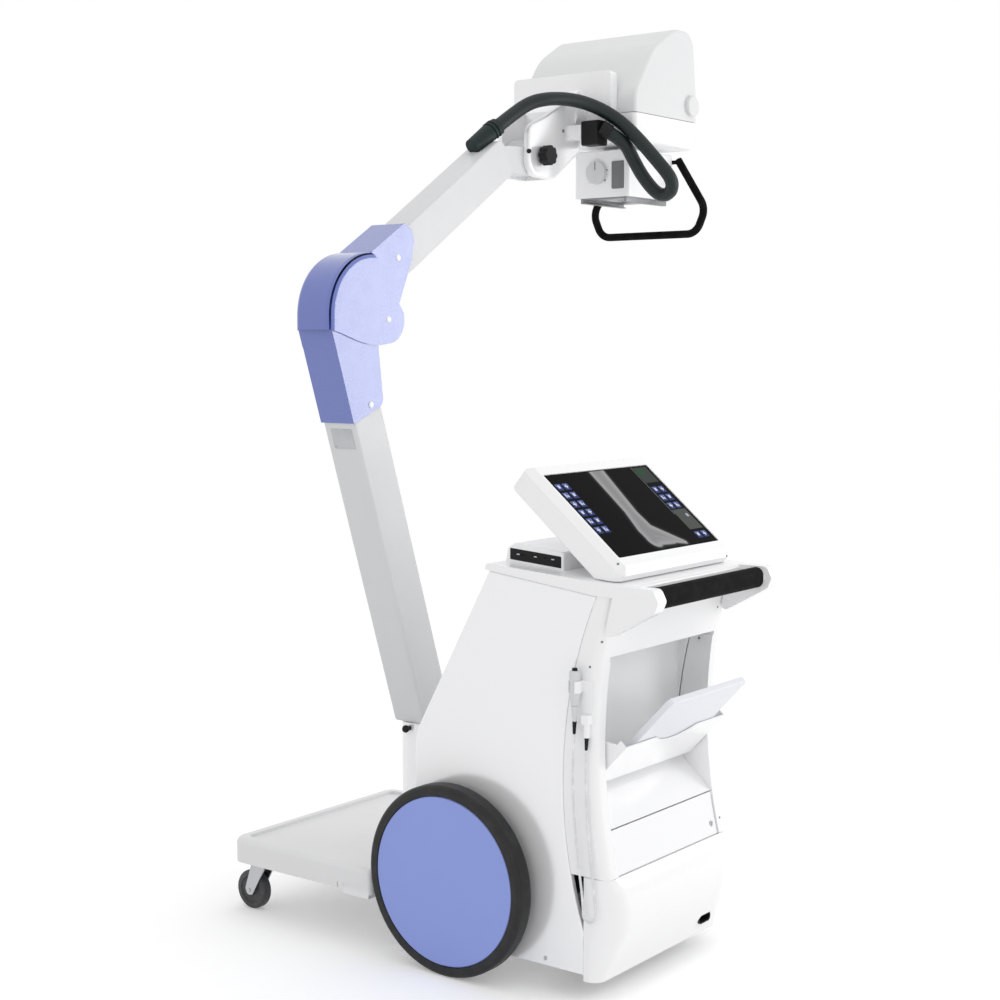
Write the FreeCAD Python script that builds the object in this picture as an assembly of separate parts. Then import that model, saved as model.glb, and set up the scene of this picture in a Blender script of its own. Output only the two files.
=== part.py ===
import FreeCAD, Part
import math
import os

# Mobile x-ray machine: a motor-free cart on two large wheels and two casters, with a
# swivelling column, a balanced upper arm and an x-ray tube head with its collimator.
# Millimetres.  +X points to the operator's handle, -X is the direction of travel,
# +Y is the side the arm reaches over in the rest pose, +Z is up and the floor is Z = 0.
# The model is built with X = 0 at the drive axle and then moved so that the middle of
# its bounding box's underside is the origin.

V = FreeCAD.Vector
UP = V(0, 0, 1)
ALONG = V(1, 0, 0)
ACROSS = V(0, 1, 0)
NEAR = -1
FAR = 1

# Clearances
running_gap = 0.05
body_gap = 0.6
seam_gap = 1.5

# Drive wheels
wheel_radius = 223.0
tyre_width = 50.0
track_outer = 660.0
disc_radius = 197.0
disc_thickness = 5.5
rim_radius = 186.0
hub_radius = 34.0
axle_radius = 15.0
tyre_shoulder = 12.0

# Cart body
cart_width = 520.0
cart_front = -138.0
panel_bottom = 63.0
panel_thickness = 12.0
knee_height = 537.0
deck_front_x = 83.0
deck_front_z = 941.0
deck_rear_x = 375.0
deck_rear_z = 908.0
panel_waist_x = 289.0
panel_waist_z = 520.0
panel_foot_x = 345.0
panel_foot_z = 158.0
sheet = 5.0

# Rear frame, bumper and service recess
rear_top_x = 416.0
rear_waist_x = 372.0
rear_waist_z = 600.0
rear_heel_x = 431.0
rear_heel_z = 212.0
post_width = 42.0
post_round = 22.0
recess_top = 762.0
recess_bottom = 285.0
recess_back = 288.0
recess_knee_z = 472.0
recess_knee_round = 60.0
header_slot = 9.0
bumper_bottom = 48.0
bumper_chin_x = 384.0
bumper_round = 62.0
inlet_width = 54.0
inlet_height = 22.0
inlet_y = 172.0
inlet_z = 86.0

# Console, handle and connector box
console_rise = 17.0
console_ledge_x = 452.0
console_ledge_z = 934.0
wing_width = 34.0
wing_tip_x = 528.0
wing_tip_z = 905.0
wing_root_z = 812.0
handle_x = 500.0
handle_z = 909.0
handle_height = 48.0
handle_depth = 38.0
handle_length = 440.0
stub_radius = 9.0
box_front_x = 84.0
box_rear_x = 246.0
box_top_z = 1000.0
box_width = 400.0
port_panel_thickness = 3.0

# Monitor
screen_centre_x = 300.0
screen_centre_z = 1074.0
screen_tilt = 39.8
screen_width = 424.0
screen_height = 266.0
housing_width = 468.0
housing_height = 346.0
housing_depth = 70.0
screen_inset = 2.0
bezel_chamfer = 16.0
monitor_barrel = 8.5
monitor_pin_radius = 4.0
monitor_ear_y = 66.0
monitor_ear = 12.0

# Base frame and front platform
rail_outer = 240.0
rail_width = 36.0
rail_bottom = 138.0
bearing_rise = 38.0
platform_front = -712.0
platform_rear = -236.0
platform_half = 310.0
platform_top = 200.0
rim_width = 30.0
rim_height = 8.0
platform_wall = 5.0
platform_corner = 38.0
platform_round = 15.0

# Casters
caster_x = -664.0
caster_y = 243.0
caster_radius = 50.0
caster_width = 30.0
caster_trail = 33.0
caster_plate = 8.0
fork_wall = 4.0
caster_axle_radius = 5.0

# Turret and column
turret_x = -330.0
post_radius = 54.0
turret_top = 500.0
spigot_radius = 30.0
spigot_depth = 90.0
column_lean = 18.35
column_half_x = 50.0
column_half_y = 56.0
column_wall = 9.0
column_head_z = 1385.0
cheek_inner = 38.6
cheek_radius = 48.0
lock_height = 487.0
lock_radius = 6.0

# Elbow and upper arm: the pin, then places in the arm's plane measured from it
elbow_y = -190.0
elbow_z = 1507.0
elbow_pin_radius = 12.5
arm_angle = 32.9
wrist_along = 758.0
wrist_above = 30.0
beam_start = 45.0
beam_end = 645.0
arm_half_x = 42.0
arm_depth = 100.0
arm_offset = 92.6
arm_wall = 5.0
dome_radius = 152.0
dome_back = -51.0
dome_rise = 6.0
dome_half = 57.0
lobe_radius = 57.0
neck_half = 52.0
cover_wall = 3.0
skin_wall = 2.5
skin_gap = 0.3
skin_bottom_near = 1262.0
skin_bottom_far = 1306.0
collar_z = 1440.0
collar_step = 0.7
tongue_half = 36.0
tongue_radius = 46.0
wrist_pin_radius = 10.0
bracket_half = 55.0

# Head bracket and tube head
bracket_end_y = 612.0
trunnion_z = 2070.0
trunnion_radius = 26.0
flange_radius = 62.0
head_front_x = -136.0
head_back_x = -526.0
head_near_y = 667.0
head_far_y = 983.0
head_bottom = 1996.0
head_seam = 2074.0
head_top = 2321.0
head_wall = 4.0
end_boss_radius = 29.0
saddle_near_y = 635.5
saddle_top = 2186.0

# Collimator
collimator_x = -291.0
collimator_y = 848.0
collimator_length = 182.0
collimator_width = 232.0
collimator_bottom = 1856.0
collimator_collar = 58.0
collar_height = 10.0
dial_radius = 32.0
dial_height = 12.0
rail_frame_height = 14.0
loop_radius = 11.0
loop_corner = 44.0
loop_y = 976.0
loop_bottom = 1762.0

# Power hose from the arm to the cable block, a free hanging length
hose_radius = 18.0
HOSE_ROUTE = [
    (-318.0, 291.1, 2008.7),
    (-308.0, 346.6, 2046.8),
    (-288.0, 394.1, 2079.8),
    (-266.0, 439.6, 2093.0),
    (-250.0, 499.0, 2098.2),
    (-232.0, 556.9, 2094.2),
    (-206.0, 604.4, 2078.6),
    (-168.0, 633.0, 2049.4),
    (-122.0, 648.5, 2005.2),
    (-58.0, 655.0, 1936.0),
    (-27.0, 678.3, 1889.5),
    (-34.5, 694.5, 1861.8),
    (-61.3, 705.1, 1847.6),
    (-91.7, 703.9, 1855.1),
    (-121.0, 681.0, 1900.0),
    (-143.0, 664.0, 1950.0),
    (-153.0, 642.0, 1990.0),
    (-182.0, 612.0, 2014.0),
]
block_x = -252.0
block_length = 52.0

# Hand switch and its cord on the near rear post
cord_radius = 2.75
switch_x = 331.0
switch_y = -276.0
CORD_ROUTE = [
    (331.0, -276.0, 632.0),
    (330.0, -276.0, 600.0),
    (327.0, -275.0, 556.0),
    (325.0, -274.0, 508.0),
    (326.0, -273.0, 458.0),
    (329.0, -272.0, 408.0),
    (334.0, -271.0, 356.0),
    (340.0, -270.0, 304.0),
    (347.0, -269.0, 254.0),
    (350.0, -268.5, 220.0),
    (350.0, -268.5, 198.0),
    (360.0, -268.5, 188.0),
    (374.0, -268.5, 188.0),
    (384.0, -268.5, 198.0),
    (383.0, -268.0, 222.0),
    (377.0, -267.5, 264.0),
    (370.0, -267.0, 312.0),
    (364.0, -266.5, 362.0),
    (359.0, -266.5, 412.0),
    (356.0, -266.5, 462.0),
    (355.0, -267.0, 512.0),
    (356.0, -268.0, 558.0),
    (358.0, -268.5, 598.0),
]


def rounded(points):
    """A closed outline of (u, v, corner radius) points as straight edges and arcs."""
    count = len(points)
    corners = []
    for index in range(count):
        before = points[index - 1]
        here = points[index]
        after = points[(index + 1) % count]
        corner = V(here[0], here[1], 0)
        if here[2] <= 0:
            corners.append((corner, None, corner))
            continue
        back = (V(before[0], before[1], 0) - corner).normalize()
        ahead = (V(after[0], after[1], 0) - corner).normalize()
        half = back.getAngle(ahead) / 2
        reach = here[2] / math.tan(half)
        middle = (back + ahead).normalize() * (here[2] / math.sin(half) - here[2])
        corners.append((corner + back * reach, corner + middle, corner + ahead * reach))
    edges = []
    for index in range(count):
        start, middle, end = corners[index]
        if middle is not None:
            edges.append(Part.Arc(start, middle, end).toShape())
        following = corners[(index + 1) % count][0]
        if end.distanceToPoint(following) > 0.001:
            edges.append(Part.LineSegment(end, following).toShape())
    return Part.Wire(edges)


def prism(wire, plane, low, high):
    """Extrudes a flat outline along the axis that its plane leaves out."""
    face = Part.Face(wire)
    if plane == "xy":
        solid = face.extrude(V(0, 0, high - low))
        solid.translate(V(0, 0, low))
    elif plane == "xz":
        solid = face.extrude(V(0, 0, high - low))
        solid.rotate(V(0, 0, 0), ALONG, 90)
        solid.translate(V(0, high, 0))
    else:
        solid = face.extrude(V(0, 0, high - low))
        solid.rotate(V(0, 0, 0), V(1, 1, 1), 120)
        solid.translate(V(low, 0, 0))
    return solid


def outline_prism(points, plane, low, high):
    return prism(rounded(points), plane, low, high)


def box(x_low, x_high, y_low, y_high, z_low, z_high):
    return Part.makeBox(x_high - x_low, y_high - y_low, z_high - z_low, V(x_low, y_low, z_low))


def rod(radius, start, end):
    direction = end - start
    return Part.makeCylinder(radius, direction.Length, start, direction)


def revolve(points, centre, axis, plane="xz"):
    """Turns an outline of (radius, height, corner radius) points about an axis."""
    face = Part.Face(rounded(points))
    face.rotate(V(0, 0, 0), ALONG, 90)
    solid = face.revolve(V(0, 0, 0), UP, 360)
    if plane == "across":
        solid.rotate(V(0, 0, 0), ALONG, -90 if axis > 0 else 90)
    elif plane == "along":
        solid.rotate(V(0, 0, 0), ACROSS, 90 if axis > 0 else -90)
    solid.translate(centre)
    return solid


def soften(solid, radius, wanted):
    """Fillets the edges that the test named wanted accepts."""
    edges = [edge for edge in solid.Edges if wanted(edge)]
    return solid.makeFillet(radius, edges)


def mirrored(solid):
    """The far side's copy of a near side piece."""
    return solid.mirror(V(0, 0, 0), ACROSS)


def middle(edge):
    return edge.valueAt((edge.FirstParameter + edge.LastParameter) / 2)


def drive_hub():
    """Rim, web and hub of the far drive wheel, open for the axle."""
    face_y = track_outer / 2
    inner_y = face_y - tyre_width
    seat_y = face_y - disc_thickness - 0.5
    bore = axle_radius + running_gap
    ring = revolve([(rim_radius - 12, inner_y + 2, 2), (rim_radius, inner_y + 2, 0),
                    (rim_radius, seat_y, 0), (rim_radius - 12, seat_y, 2)], V(0, 0, wheel_radius), 1, "across")
    web = revolve([(bore, inner_y + 22, 0), (rim_radius - 11, inner_y + 22, 0),
                   (rim_radius - 11, inner_y + 30, 0), (bore, inner_y + 30, 0)], V(0, 0, wheel_radius), 1, "across")
    barrel = revolve([(bore, inner_y + 1, 0), (hub_radius, inner_y + 1, 2),
                      (hub_radius, seat_y - 3, 2), (bore, seat_y - 3, 0)], V(0, 0, wheel_radius), 1, "across")
    hub = ring.fuse([web, barrel]).removeSplitter()
    for turn in range(5):
        angle = math.radians(72 * turn)
        window = Part.makeCylinder(30, 20, V(110 * math.cos(angle), inner_y + 16,
                                             wheel_radius + 110 * math.sin(angle)), ACROSS)
        hub = hub.cut(window)
    return hub


def drive_tyre():
    face_y = track_outer / 2
    inner_y = face_y - tyre_width
    lip_y = face_y - disc_thickness - 0.5
    return revolve([(rim_radius, inner_y, 4), (wheel_radius, inner_y, tyre_shoulder),
                    (wheel_radius, face_y, tyre_shoulder), (disc_radius + 0.4, face_y, 3),
                    (disc_radius + 0.4, lip_y, 0), (rim_radius, lip_y, 0)],
                   V(0, 0, wheel_radius), 1, "across")


def drive_disc():
    """The flat coloured cover that closes the outside of a drive wheel."""
    face_y = track_outer / 2
    back_y = face_y - disc_thickness - 0.5
    return revolve([(0, back_y, 0), (disc_radius, back_y, 0), (disc_radius, face_y - 1.5, 2.5),
                    (0, face_y - 0.5, 0)], V(0, 0, wheel_radius), 1, "across")


def drive_axle():
    end_y = track_outer / 2 - disc_thickness - 4
    return rod(axle_radius, V(0, -end_y, wheel_radius), V(0, end_y, wheel_radius))


def base_frame():
    """Welded rails and cross beams with the bearing blocks for the axle."""
    top = platform_top - rim_height - platform_wall
    rail_inner = rail_outer - rail_width
    pieces = []
    for side in (NEAR, FAR):
        low, high = sorted((side * rail_inner, side * rail_outer))
        pieces.append(box(-690, 322, low, high, rail_bottom, top))
        pieces.append(box(-42, 42, low, high, top - 1, wheel_radius + bearing_rise))
        outrigger = sorted((side * (rail_outer - 1), side * 300.0))
        pieces.append(box(-337, -252, outrigger[0], outrigger[1], rail_bottom - 14, rail_bottom + 14))
    pieces.append(box(-700, -628, -286, 286, rail_bottom, top))
    pieces.append(box(turret_x - 62, turret_x + 62, -rail_outer, rail_outer, rail_bottom, top))
    pieces.append(box(262, 322, -rail_outer, rail_outer, rail_bottom, top))
    frame = pieces[0].fuse(pieces[1:]).removeSplitter()
    bore = rod(axle_radius + 0.02, V(0, -rail_outer - 1, wheel_radius), V(0, rail_outer + 1, wheel_radius))
    return frame.cut(bore)


def front_platform():
    """Moulded tray over the front of the frame, with a raised rim."""
    neck_half = cart_width / 2 - panel_thickness - 14
    outer = outline_prism([(platform_front, -platform_half, platform_corner),
                           (platform_rear, -platform_half, 12), (platform_rear, -neck_half, 0),
                           (cart_front - seam_gap, -neck_half, 0), (cart_front - seam_gap, neck_half, 0),
                           (platform_rear, neck_half, 0), (platform_rear, platform_half, 12),
                           (platform_front, platform_half, platform_corner)],
                          "xy", rail_bottom, platform_top)
    outer = soften(outer, platform_round,
                   lambda edge: abs(middle(edge).z - platform_top) < 0.1 and middle(edge).x < platform_rear + 1)
    floor = platform_top - rim_height
    tray_half = platform_half - rim_width
    pocket = outline_prism([(platform_front + rim_width, -tray_half, 16), (platform_rear - 8, -tray_half, 16),
                            (platform_rear - 8, -neck_half + 10, 0), (cart_front + 5, -neck_half + 10, 0),
                            (cart_front + 5, neck_half - 10, 0), (platform_rear - 8, neck_half - 10, 0),
                            (platform_rear - 8, tray_half, 16), (platform_front + rim_width, tray_half, 16)],
                           "xy", floor, platform_top + 5)
    wall = platform_wall
    rail_clear = rail_outer + body_gap
    hollow = outline_prism([(platform_front + wall, -platform_half + wall, platform_corner - wall),
                            (platform_rear - wall, -platform_half + wall, 8),
                            (platform_rear - wall, -rail_clear, 0), (cart_front + 5, -rail_clear, 0),
                            (cart_front + 5, rail_clear, 0), (platform_rear - wall, rail_clear, 0),
                            (platform_rear - wall, platform_half - wall, 8),
                            (platform_front + wall, platform_half - wall, platform_corner - wall)],
                           "xy", rail_bottom - 1, floor - wall)
    notch = box(-345, -244, -platform_half - 1, platform_half + 1, rail_bottom - 1, rail_bottom + 15)
    return outer.cut([pocket, hollow, notch])


def turret_post():
    """Fixed post on the platform that carries the swivelling column."""
    floor = platform_top - rim_height
    bore = spigot_radius + running_gap
    post = revolve([(0, floor, 0), (post_radius + 34, floor, 0), (post_radius + 34, floor + 12, 5),
                    (post_radius, floor + 12, 8), (post_radius, turret_top, 3), (0, turret_top, 0)],
                   V(turret_x, 0, 0), 1)
    socket = rod(bore, V(turret_x, 0, turret_top - spigot_depth - 4), V(turret_x, 0, turret_top + 1))
    lock_hole = rod(lock_radius + running_gap, V(turret_x, -post_radius - 1, lock_height),
                    V(turret_x, -post_radius + 16, lock_height))
    return post.cut([socket, lock_hole])


def swivel_lock():
    """Plunger with a ball knob that holds the column's swivel."""
    start = V(turret_x, -post_radius + 14, lock_height)
    stem = rod(lock_radius, start, V(turret_x, -post_radius - 10, lock_height))
    knob = Part.makeSphere(9.5, V(turret_x, -post_radius - 15, lock_height))
    return stem.fuse(knob).removeSplitter()


def waist_arc(top, waist, foot):
    return Part.Arc(V(top[0], top[1], 0), V(waist[0], waist[1], 0), V(foot[0], foot[1], 0)).toShape()


def line(start, end):
    return Part.LineSegment(V(start[0], start[1], 0), V(end[0], end[1], 0)).toShape()


def side_outline(inset=0.0):
    """Side view of the cart: upright shin, slanted knee, sloping deck and bowed back."""
    slope = math.atan2(deck_front_z - knee_height, deck_front_x - cart_front)
    knee_radius = 110.0
    reach = knee_radius * math.tan((math.pi / 2 - slope) / 2)
    knee_low = V(cart_front, knee_height - reach, 0)
    knee_high = V(cart_front + reach * math.cos(slope), knee_height + reach * math.sin(slope), 0)
    centre = V(cart_front + knee_radius, knee_height - reach, 0)
    turn = math.pi - (math.pi / 2 - slope) / 2
    knee_middle = centre + V(math.cos(turn), math.sin(turn), 0) * knee_radius
    bottom_front = (cart_front, panel_bottom)
    bottom_rear = (panel_foot_x, panel_bottom)
    foot = (panel_foot_x, panel_foot_z)
    top_rear = (deck_rear_x, deck_rear_z)
    top_front = (deck_front_x, deck_front_z)
    edges = [line(bottom_rear, bottom_front),
             line(bottom_front, (knee_low.x, knee_low.y)),
             Part.Arc(knee_low, knee_middle, knee_high).toShape(),
             line((knee_high.x, knee_high.y), top_front),
             line(top_front, top_rear),
             waist_arc(top_rear, (panel_waist_x, panel_waist_z), foot),
             line(foot, bottom_rear)]
    wire = Part.Wire(edges)
    if inset:
        wire = wire.makeOffset2D(-inset)
    return wire


def side_panel():
    """The near side panel, rounded on its outside edge."""
    outer = -cart_width / 2
    panel = prism(side_outline(), "xz", outer, outer + panel_thickness)
    axle_way = rod(axle_radius + 3, V(0, outer - 1, wheel_radius), V(0, outer + panel_thickness + 1, wheel_radius))
    panel = panel.cut(axle_way)
    return soften(panel, 5.0, lambda edge: abs(middle(edge).y - outer) < 0.1 and middle(edge).x < deck_rear_x - 4
                  and abs(edge.BoundBox.YLength) < 0.1 and middle(edge).z > wheel_radius + 60
                  or abs(middle(edge).x - cart_front) < 0.1 and abs(middle(edge).y - outer) < 0.1)


def front_cover():
    """Bent sheet between the side panels, with the deck and the floor under the cart."""
    half = cart_width / 2 - panel_thickness - body_gap
    outer = prism(side_outline(), "xz", -half, half)
    inner = prism(side_outline(sheet), "xz", -half - 1, half + 1)
    shell = outer.cut(inner)
    rear_cut = box(deck_rear_x - 150, deck_rear_x + 60, -half - 1, half + 1, panel_bottom - 1, deck_front_z)
    gap_half = rail_outer + body_gap
    platform_gap = box(cart_front - 1, cart_front + sheet + 1, -gap_half, gap_half,
                       rail_bottom - 2, platform_top - rim_height + body_gap)
    return shell.cut([rear_cut, platform_gap])


def rear_face_arc():
    return ((rear_top_x, deck_rear_z), (rear_waist_x, rear_waist_z), (rear_heel_x, rear_heel_z))


def rear_band(front_shift):
    """The rear frame's side view between the side panel's back edge and the rear face."""
    top, waist, heel = rear_face_arc()
    front_top = (deck_rear_x + front_shift, deck_rear_z)
    front_waist = (panel_waist_x + front_shift, panel_waist_z)
    front_foot = (panel_foot_x + front_shift, panel_foot_z)
    edges = [waist_arc(top, waist, heel), line(heel, front_foot),
             waist_arc(front_foot, front_waist, front_top), line(front_top, top)]
    return Part.Wire(edges)


def rear_frame():
    """Two bowed posts joined at the top, around the service recess."""
    half = cart_width / 2 - 1
    band = prism(rear_band(seam_gap), "xz", -half, half)
    band = soften(band, post_round,
                  lambda edge: edge.BoundBox.ZLength > 300 and middle(edge).x > rear_waist_x - 20)
    opening_half = half - post_width
    opening = box(150, 520, -opening_half, opening_half, 0, recess_top)
    header = box(150, 520, -opening_half - 4, opening_half + 4, recess_top - 1, recess_top + header_slot)
    deep = box(150, rear_waist_x - 4, -opening_half, opening_half, recess_top - 1, deck_rear_z + 1)
    floor_cut = box(150, 520, -half - 1, half + 1, 0, recess_bottom)
    reach = opening_half + pin_depth
    bar = bar_centre()
    bar_way = rod(5 + running_gap, V(bar.x, -reach, bar.z), V(bar.x, reach, bar.z))
    hinge = door_hinge()
    hinge_way = rod(door_pin_radius + running_gap, V(hinge.x, -reach, hinge.z), V(hinge.x, reach, hinge.z))
    return band.cut([opening, header, deep, floor_cut, bar_way, hinge_way])


def bumper_block(inset, z_low, z_high, front_x):
    """Loft through rounded plan outlines that swell round the foot of the cart."""
    half = cart_width / 2 - 1 - inset
    top_x = door_face_x(recess_bottom - seam_gap)
    sections = [(bumper_bottom, bumper_chin_x, 30.0), (100.0, 402.0, 48.0), (158.0, 423.0, bumper_round),
                (rear_heel_z, rear_heel_x, bumper_round), (recess_bottom - seam_gap, top_x, 34.0)]
    wires = []
    for z, rear_x, corner in sections:
        level = min(max(z, z_low), z_high)
        outline = rounded([(front_x, -half, 0), (rear_x - inset, -half, corner - inset),
                           (rear_x - inset, half, corner - inset), (front_x, half, 0)])
        outline.translate(V(0, 0, level))
        wires.append(outline)
    return Part.makeLoft(wires, True, False)


def rear_bumper():
    """Moulded shell that bulges round the foot of the cart, with the power inlet's opening."""
    front = panel_foot_x + 0.3
    top = recess_bottom - seam_gap
    solid = bumper_block(0.0, bumper_bottom, top, front)
    hollow = bumper_block(sheet, bumper_bottom + sheet, top - sheet, front - 10)
    return solid.cut([hollow, inlet_prism(330, 480, 0)])


def inlet_prism(x_low, x_high, inset):
    half_width = inlet_width / 2 - inset
    half_height = inlet_height / 2 - inset
    round_end = half_height - 0.01
    return outline_prism([(inlet_y - half_width, inlet_z - half_height, round_end),
                          (inlet_y + half_width, inlet_z - half_height, round_end),
                          (inlet_y + half_width, inlet_z + half_height, round_end),
                          (inlet_y - half_width, inlet_z + half_height, round_end)], "yz", x_low, x_high)


def power_inlet():
    """Recessed inlet behind the bumper's oval mouth."""
    body = inlet_prism(352, 398, 0.2)
    well = inlet_prism(366, 400, 3.5)
    pins = [rod(2.0, V(364, inlet_y + shift, inlet_z), V(384, inlet_y + shift, inlet_z)) for shift in (-10, 0, 10)]
    return body.cut(well).fuse(pins)


def liner_outline(inset):
    """Side view of the space in front of the liner: straight down, then out to the door's top edge."""
    lip_z = door_top + door_gap
    lip_x = door_face_x(lip_z) - door_inset
    top = recess_top + header_slot
    return [(recess_back + inset, top + 2 * inset, 0), (recess_back + inset, recess_knee_z, recess_knee_round),
            (lip_x - sheet + inset, lip_z, 0), (lip_x - sheet + inset + 200, lip_z, 0),
            (lip_x - sheet + inset + 200, top + 2 * inset, 0)]


def recess_liner():
    """Formed sheet between the posts: the bin's back wall, which comes out to meet the door."""
    half = recess_half()
    top = recess_top + header_slot
    space = outline_prism(liner_outline(0), "xz", -half, half)
    front = outline_prism(liner_outline(sheet), "xz", -half - 1, half + 1)
    back = space.cut(front)
    band = prism(rear_band(0.0), "xz", -half - 1, half + 1)
    cheeks = []
    for side in (NEAR, FAR):
        low, high = sorted((side * (half - sheet), side * half))
        cheeks.append(outline_prism(liner_outline(0), "xz", low, high).cut(band))
    lid = box(recess_back, 330, -half, half, top - sheet, top)
    liner = back.fuse(cheeks + [lid]).removeSplitter()
    return max(liner.Solids, key=lambda solid: solid.Volume)


def recess_half():
    """Half the width of the opening between the two posts."""
    return cart_width / 2 - 1 - post_width


def lower_door_places():
    """Half the width of the door in the recess."""
    return recess_half() - 2.0


def door_face_x(z):
    """Where the rear face of the cart lies at a height."""
    top, waist, heel = rear_face_arc()
    arc = Part.Arc(V(top[0], top[1], 0), V(waist[0], waist[1], 0), V(heel[0], heel[1], 0))
    circle = arc.toShape().Curve
    return circle.Center.x - math.sqrt(circle.Radius ** 2 - (z - circle.Center.y) ** 2)


door_top = 383.0
door_gap = 3.0
door_inset = 4.0
door_thickness = 8.0
door_pin_radius = 3.5
pin_depth = 12.0


def lower_door():
    """Bowed service flap below the bin, on a hinge pin along its top edge."""
    half = lower_door_places()
    bottom = recess_bottom + 0.5
    middle_z = (door_top + bottom) / 2
    outer = [(door_face_x(z) - door_inset, z) for z in (door_top, middle_z, bottom)]
    inner = [(x - door_thickness, z) for x, z in outer]
    wire = Part.Wire([waist_arc(outer[0], outer[1], outer[2]), line(outer[2], inner[2]),
                      waist_arc(inner[2], inner[1], inner[0]), line(inner[0], outer[0])])
    door = prism(wire, "xz", -half, half)
    latch = rod(7 + running_gap, latch_point() - V(30, 0, 0), latch_point() + V(30, 0, 0))
    hinge = door_hinge()
    reach = recess_half() + pin_depth - 1
    pin = rod(door_pin_radius, V(hinge.x, -reach, hinge.z), V(hinge.x, reach, hinge.z))
    return door.cut(latch).fuse(pin).removeSplitter()


def latch_point():
    z = recess_bottom + 26
    return V(door_face_x(z) - door_inset, lower_door_places() - 20, z)


def door_latch():
    """Quarter-turn latch with a cam behind the door."""
    centre = latch_point()
    stem = rod(7, centre - V(door_thickness + 9, 0, 0), centre + V(1.5, 0, 0))
    cam = box(centre.x - door_thickness - 9, centre.x - door_thickness - 5,
              centre.y - 7, centre.y + 17, centre.z - 5, centre.z + 5)
    slot = box(centre.x, centre.x + 3, centre.y - 1.2, centre.y + 1.2, centre.z - 5, centre.z + 5)
    return stem.fuse(cam).removeSplitter().cut(slot)


def door_hinge():
    """Middle of the flap's hinge pin, inside its top edge."""
    z = door_top - door_thickness / 2 - 1
    return V(door_face_x(z) - door_inset - door_thickness / 2, 0, z)


# Tilt-out bin: its pivot, the lean of its tray and the flat detector that it holds
bin_pivot_x = 392.0
bin_pivot_z = 540.0
bin_lean = 43.0
bin_wall = 3.0
detector_height = 268.0
detector_width = 328.0
detector_thickness = 15.0
bin_depth = 92.0
bin_lip = 46.0
bar_local_x = -6.0
bar_local_z = -84.0


def lean_bin(solid):
    """Moves a piece from the bin's own upright frame to its place, leaning outward."""
    solid.rotate(V(0, 0, 0), ACROSS, bin_lean)
    solid.translate(V(bin_pivot_x, 0, bin_pivot_z))
    return solid


def bin_half():
    """Half the width of the bin across the recess."""
    return lower_door_places() - 3


def bar_centre():
    """The pivot bar's middle, along the bin's lower part."""
    turn = FreeCAD.Rotation(ACROSS, bin_lean)
    return turn.multVec(V(bar_local_x, 0, bar_local_z)) + V(bin_pivot_x, 0, bin_pivot_z)


def detector_bin():
    """Open-topped tray with a scooped front lip, on a pivot bar along its lower edge."""
    half = bin_half()
    pocket = detector_thickness + 3
    outer = box(-pocket - 2 * bin_wall, 0, -half, half, -bin_depth, bin_lip)
    hollow = box(-pocket - bin_wall, -bin_wall, -half + bin_wall, half - bin_wall, -bin_depth + bin_wall, bin_lip + 1)
    back_drop = box(-pocket - 2 * bin_wall - 1, -pocket - bin_wall + 0.5, -half - 1, half + 1, -8, bin_lip + 1)
    tray = outer.cut([hollow, back_drop])
    scoop_radius = 150.0
    scoop = rod(scoop_radius, V(-bin_wall - 1, 0, bin_lip + scoop_radius - 26), V(1, 0, bin_lip + scoop_radius - 26))
    tray = tray.cut(scoop)
    cheeks = []
    for side in (NEAR, FAR):
        low, high = sorted((side * half, side * (half - bin_wall)))
        cheeks.append(outline_prism([(-2, -bin_depth + 4, 0), (-2, bin_lip, 6), (-pocket - 30, 12, 10),
                                     (-pocket - 12, -bin_depth + 4, 5)], "xz", low, high))
    reach = recess_half() + pin_depth - 1
    bar = rod(5, V(bar_local_x, -reach, bar_local_z), V(bar_local_x, reach, bar_local_z))
    tray = tray.fuse(cheeks + [bar]).removeSplitter()
    pocket_clear = box(-pocket - bin_wall + 0.01, -bin_wall - 0.01, -half + bin_wall, half - bin_wall,
                       -bin_depth + bin_wall, bin_lip + 60)
    return lean_bin(tray.cut(pocket_clear))


def detector_panel():
    """Flat detector with rounded corners, standing in the bin."""
    half = detector_width / 2
    low = -bin_depth + bin_wall + 0.3
    plate = outline_prism([(-half, low, 12), (half, low, 12), (half, low + detector_height, 12),
                           (-half, low + detector_height, 12)], "yz",
                          -bin_wall - 1.5 - detector_thickness, -bin_wall - 1.5)
    plate = soften(plate, 2.0, lambda edge: edge.BoundBox.XLength < 0.1)
    return lean_bin(plate)


def console_top():
    """Deck with two wings that sweep back to carry the handle."""
    half = cart_width / 2 + 2
    front_x = deck_front_x - 9
    slope = (deck_rear_z - deck_front_z) / (deck_rear_x - deck_front_x)
    under_front = deck_front_z + slope * (front_x - deck_front_x) + body_gap
    under_rear = deck_rear_z + body_gap
    slab = outline_prism([(front_x, under_front, 3), (front_x, deck_front_z + console_rise, 9),
                          (console_ledge_x, console_ledge_z, 10), (console_ledge_x, under_rear, 8),
                          (deck_rear_x, under_rear, 0)], "xz", -half, half)
    wings = []
    for side in (NEAR, FAR):
        low, high = sorted((side * half, side * (half - wing_width)))
        wings.append(outline_prism([(door_face_x(deck_rear_z) + seam_gap, deck_rear_z + 6, 0),
                                    (door_face_x(deck_rear_z) + seam_gap, under_rear, 0),
                                    (door_face_x(wing_root_z) + seam_gap, wing_root_z, 12),
                                    (wing_tip_x - 4, wing_tip_z - 21, 16), (wing_tip_x + 6, wing_tip_z + 3, 12),
                                    (wing_tip_x - 8, wing_tip_z + 29, 14), (console_ledge_x - 20, wing_tip_z + 29, 0),
                                    (console_ledge_x - 20, deck_rear_z + 6, 0)], "xz", low, high))
    console = slab.fuse(wings).removeSplitter()
    sockets = rod(stub_radius + 0.05, V(handle_x, -half + 12, handle_z), V(handle_x, half - 12, handle_z))
    return console.cut(sockets)


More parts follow.
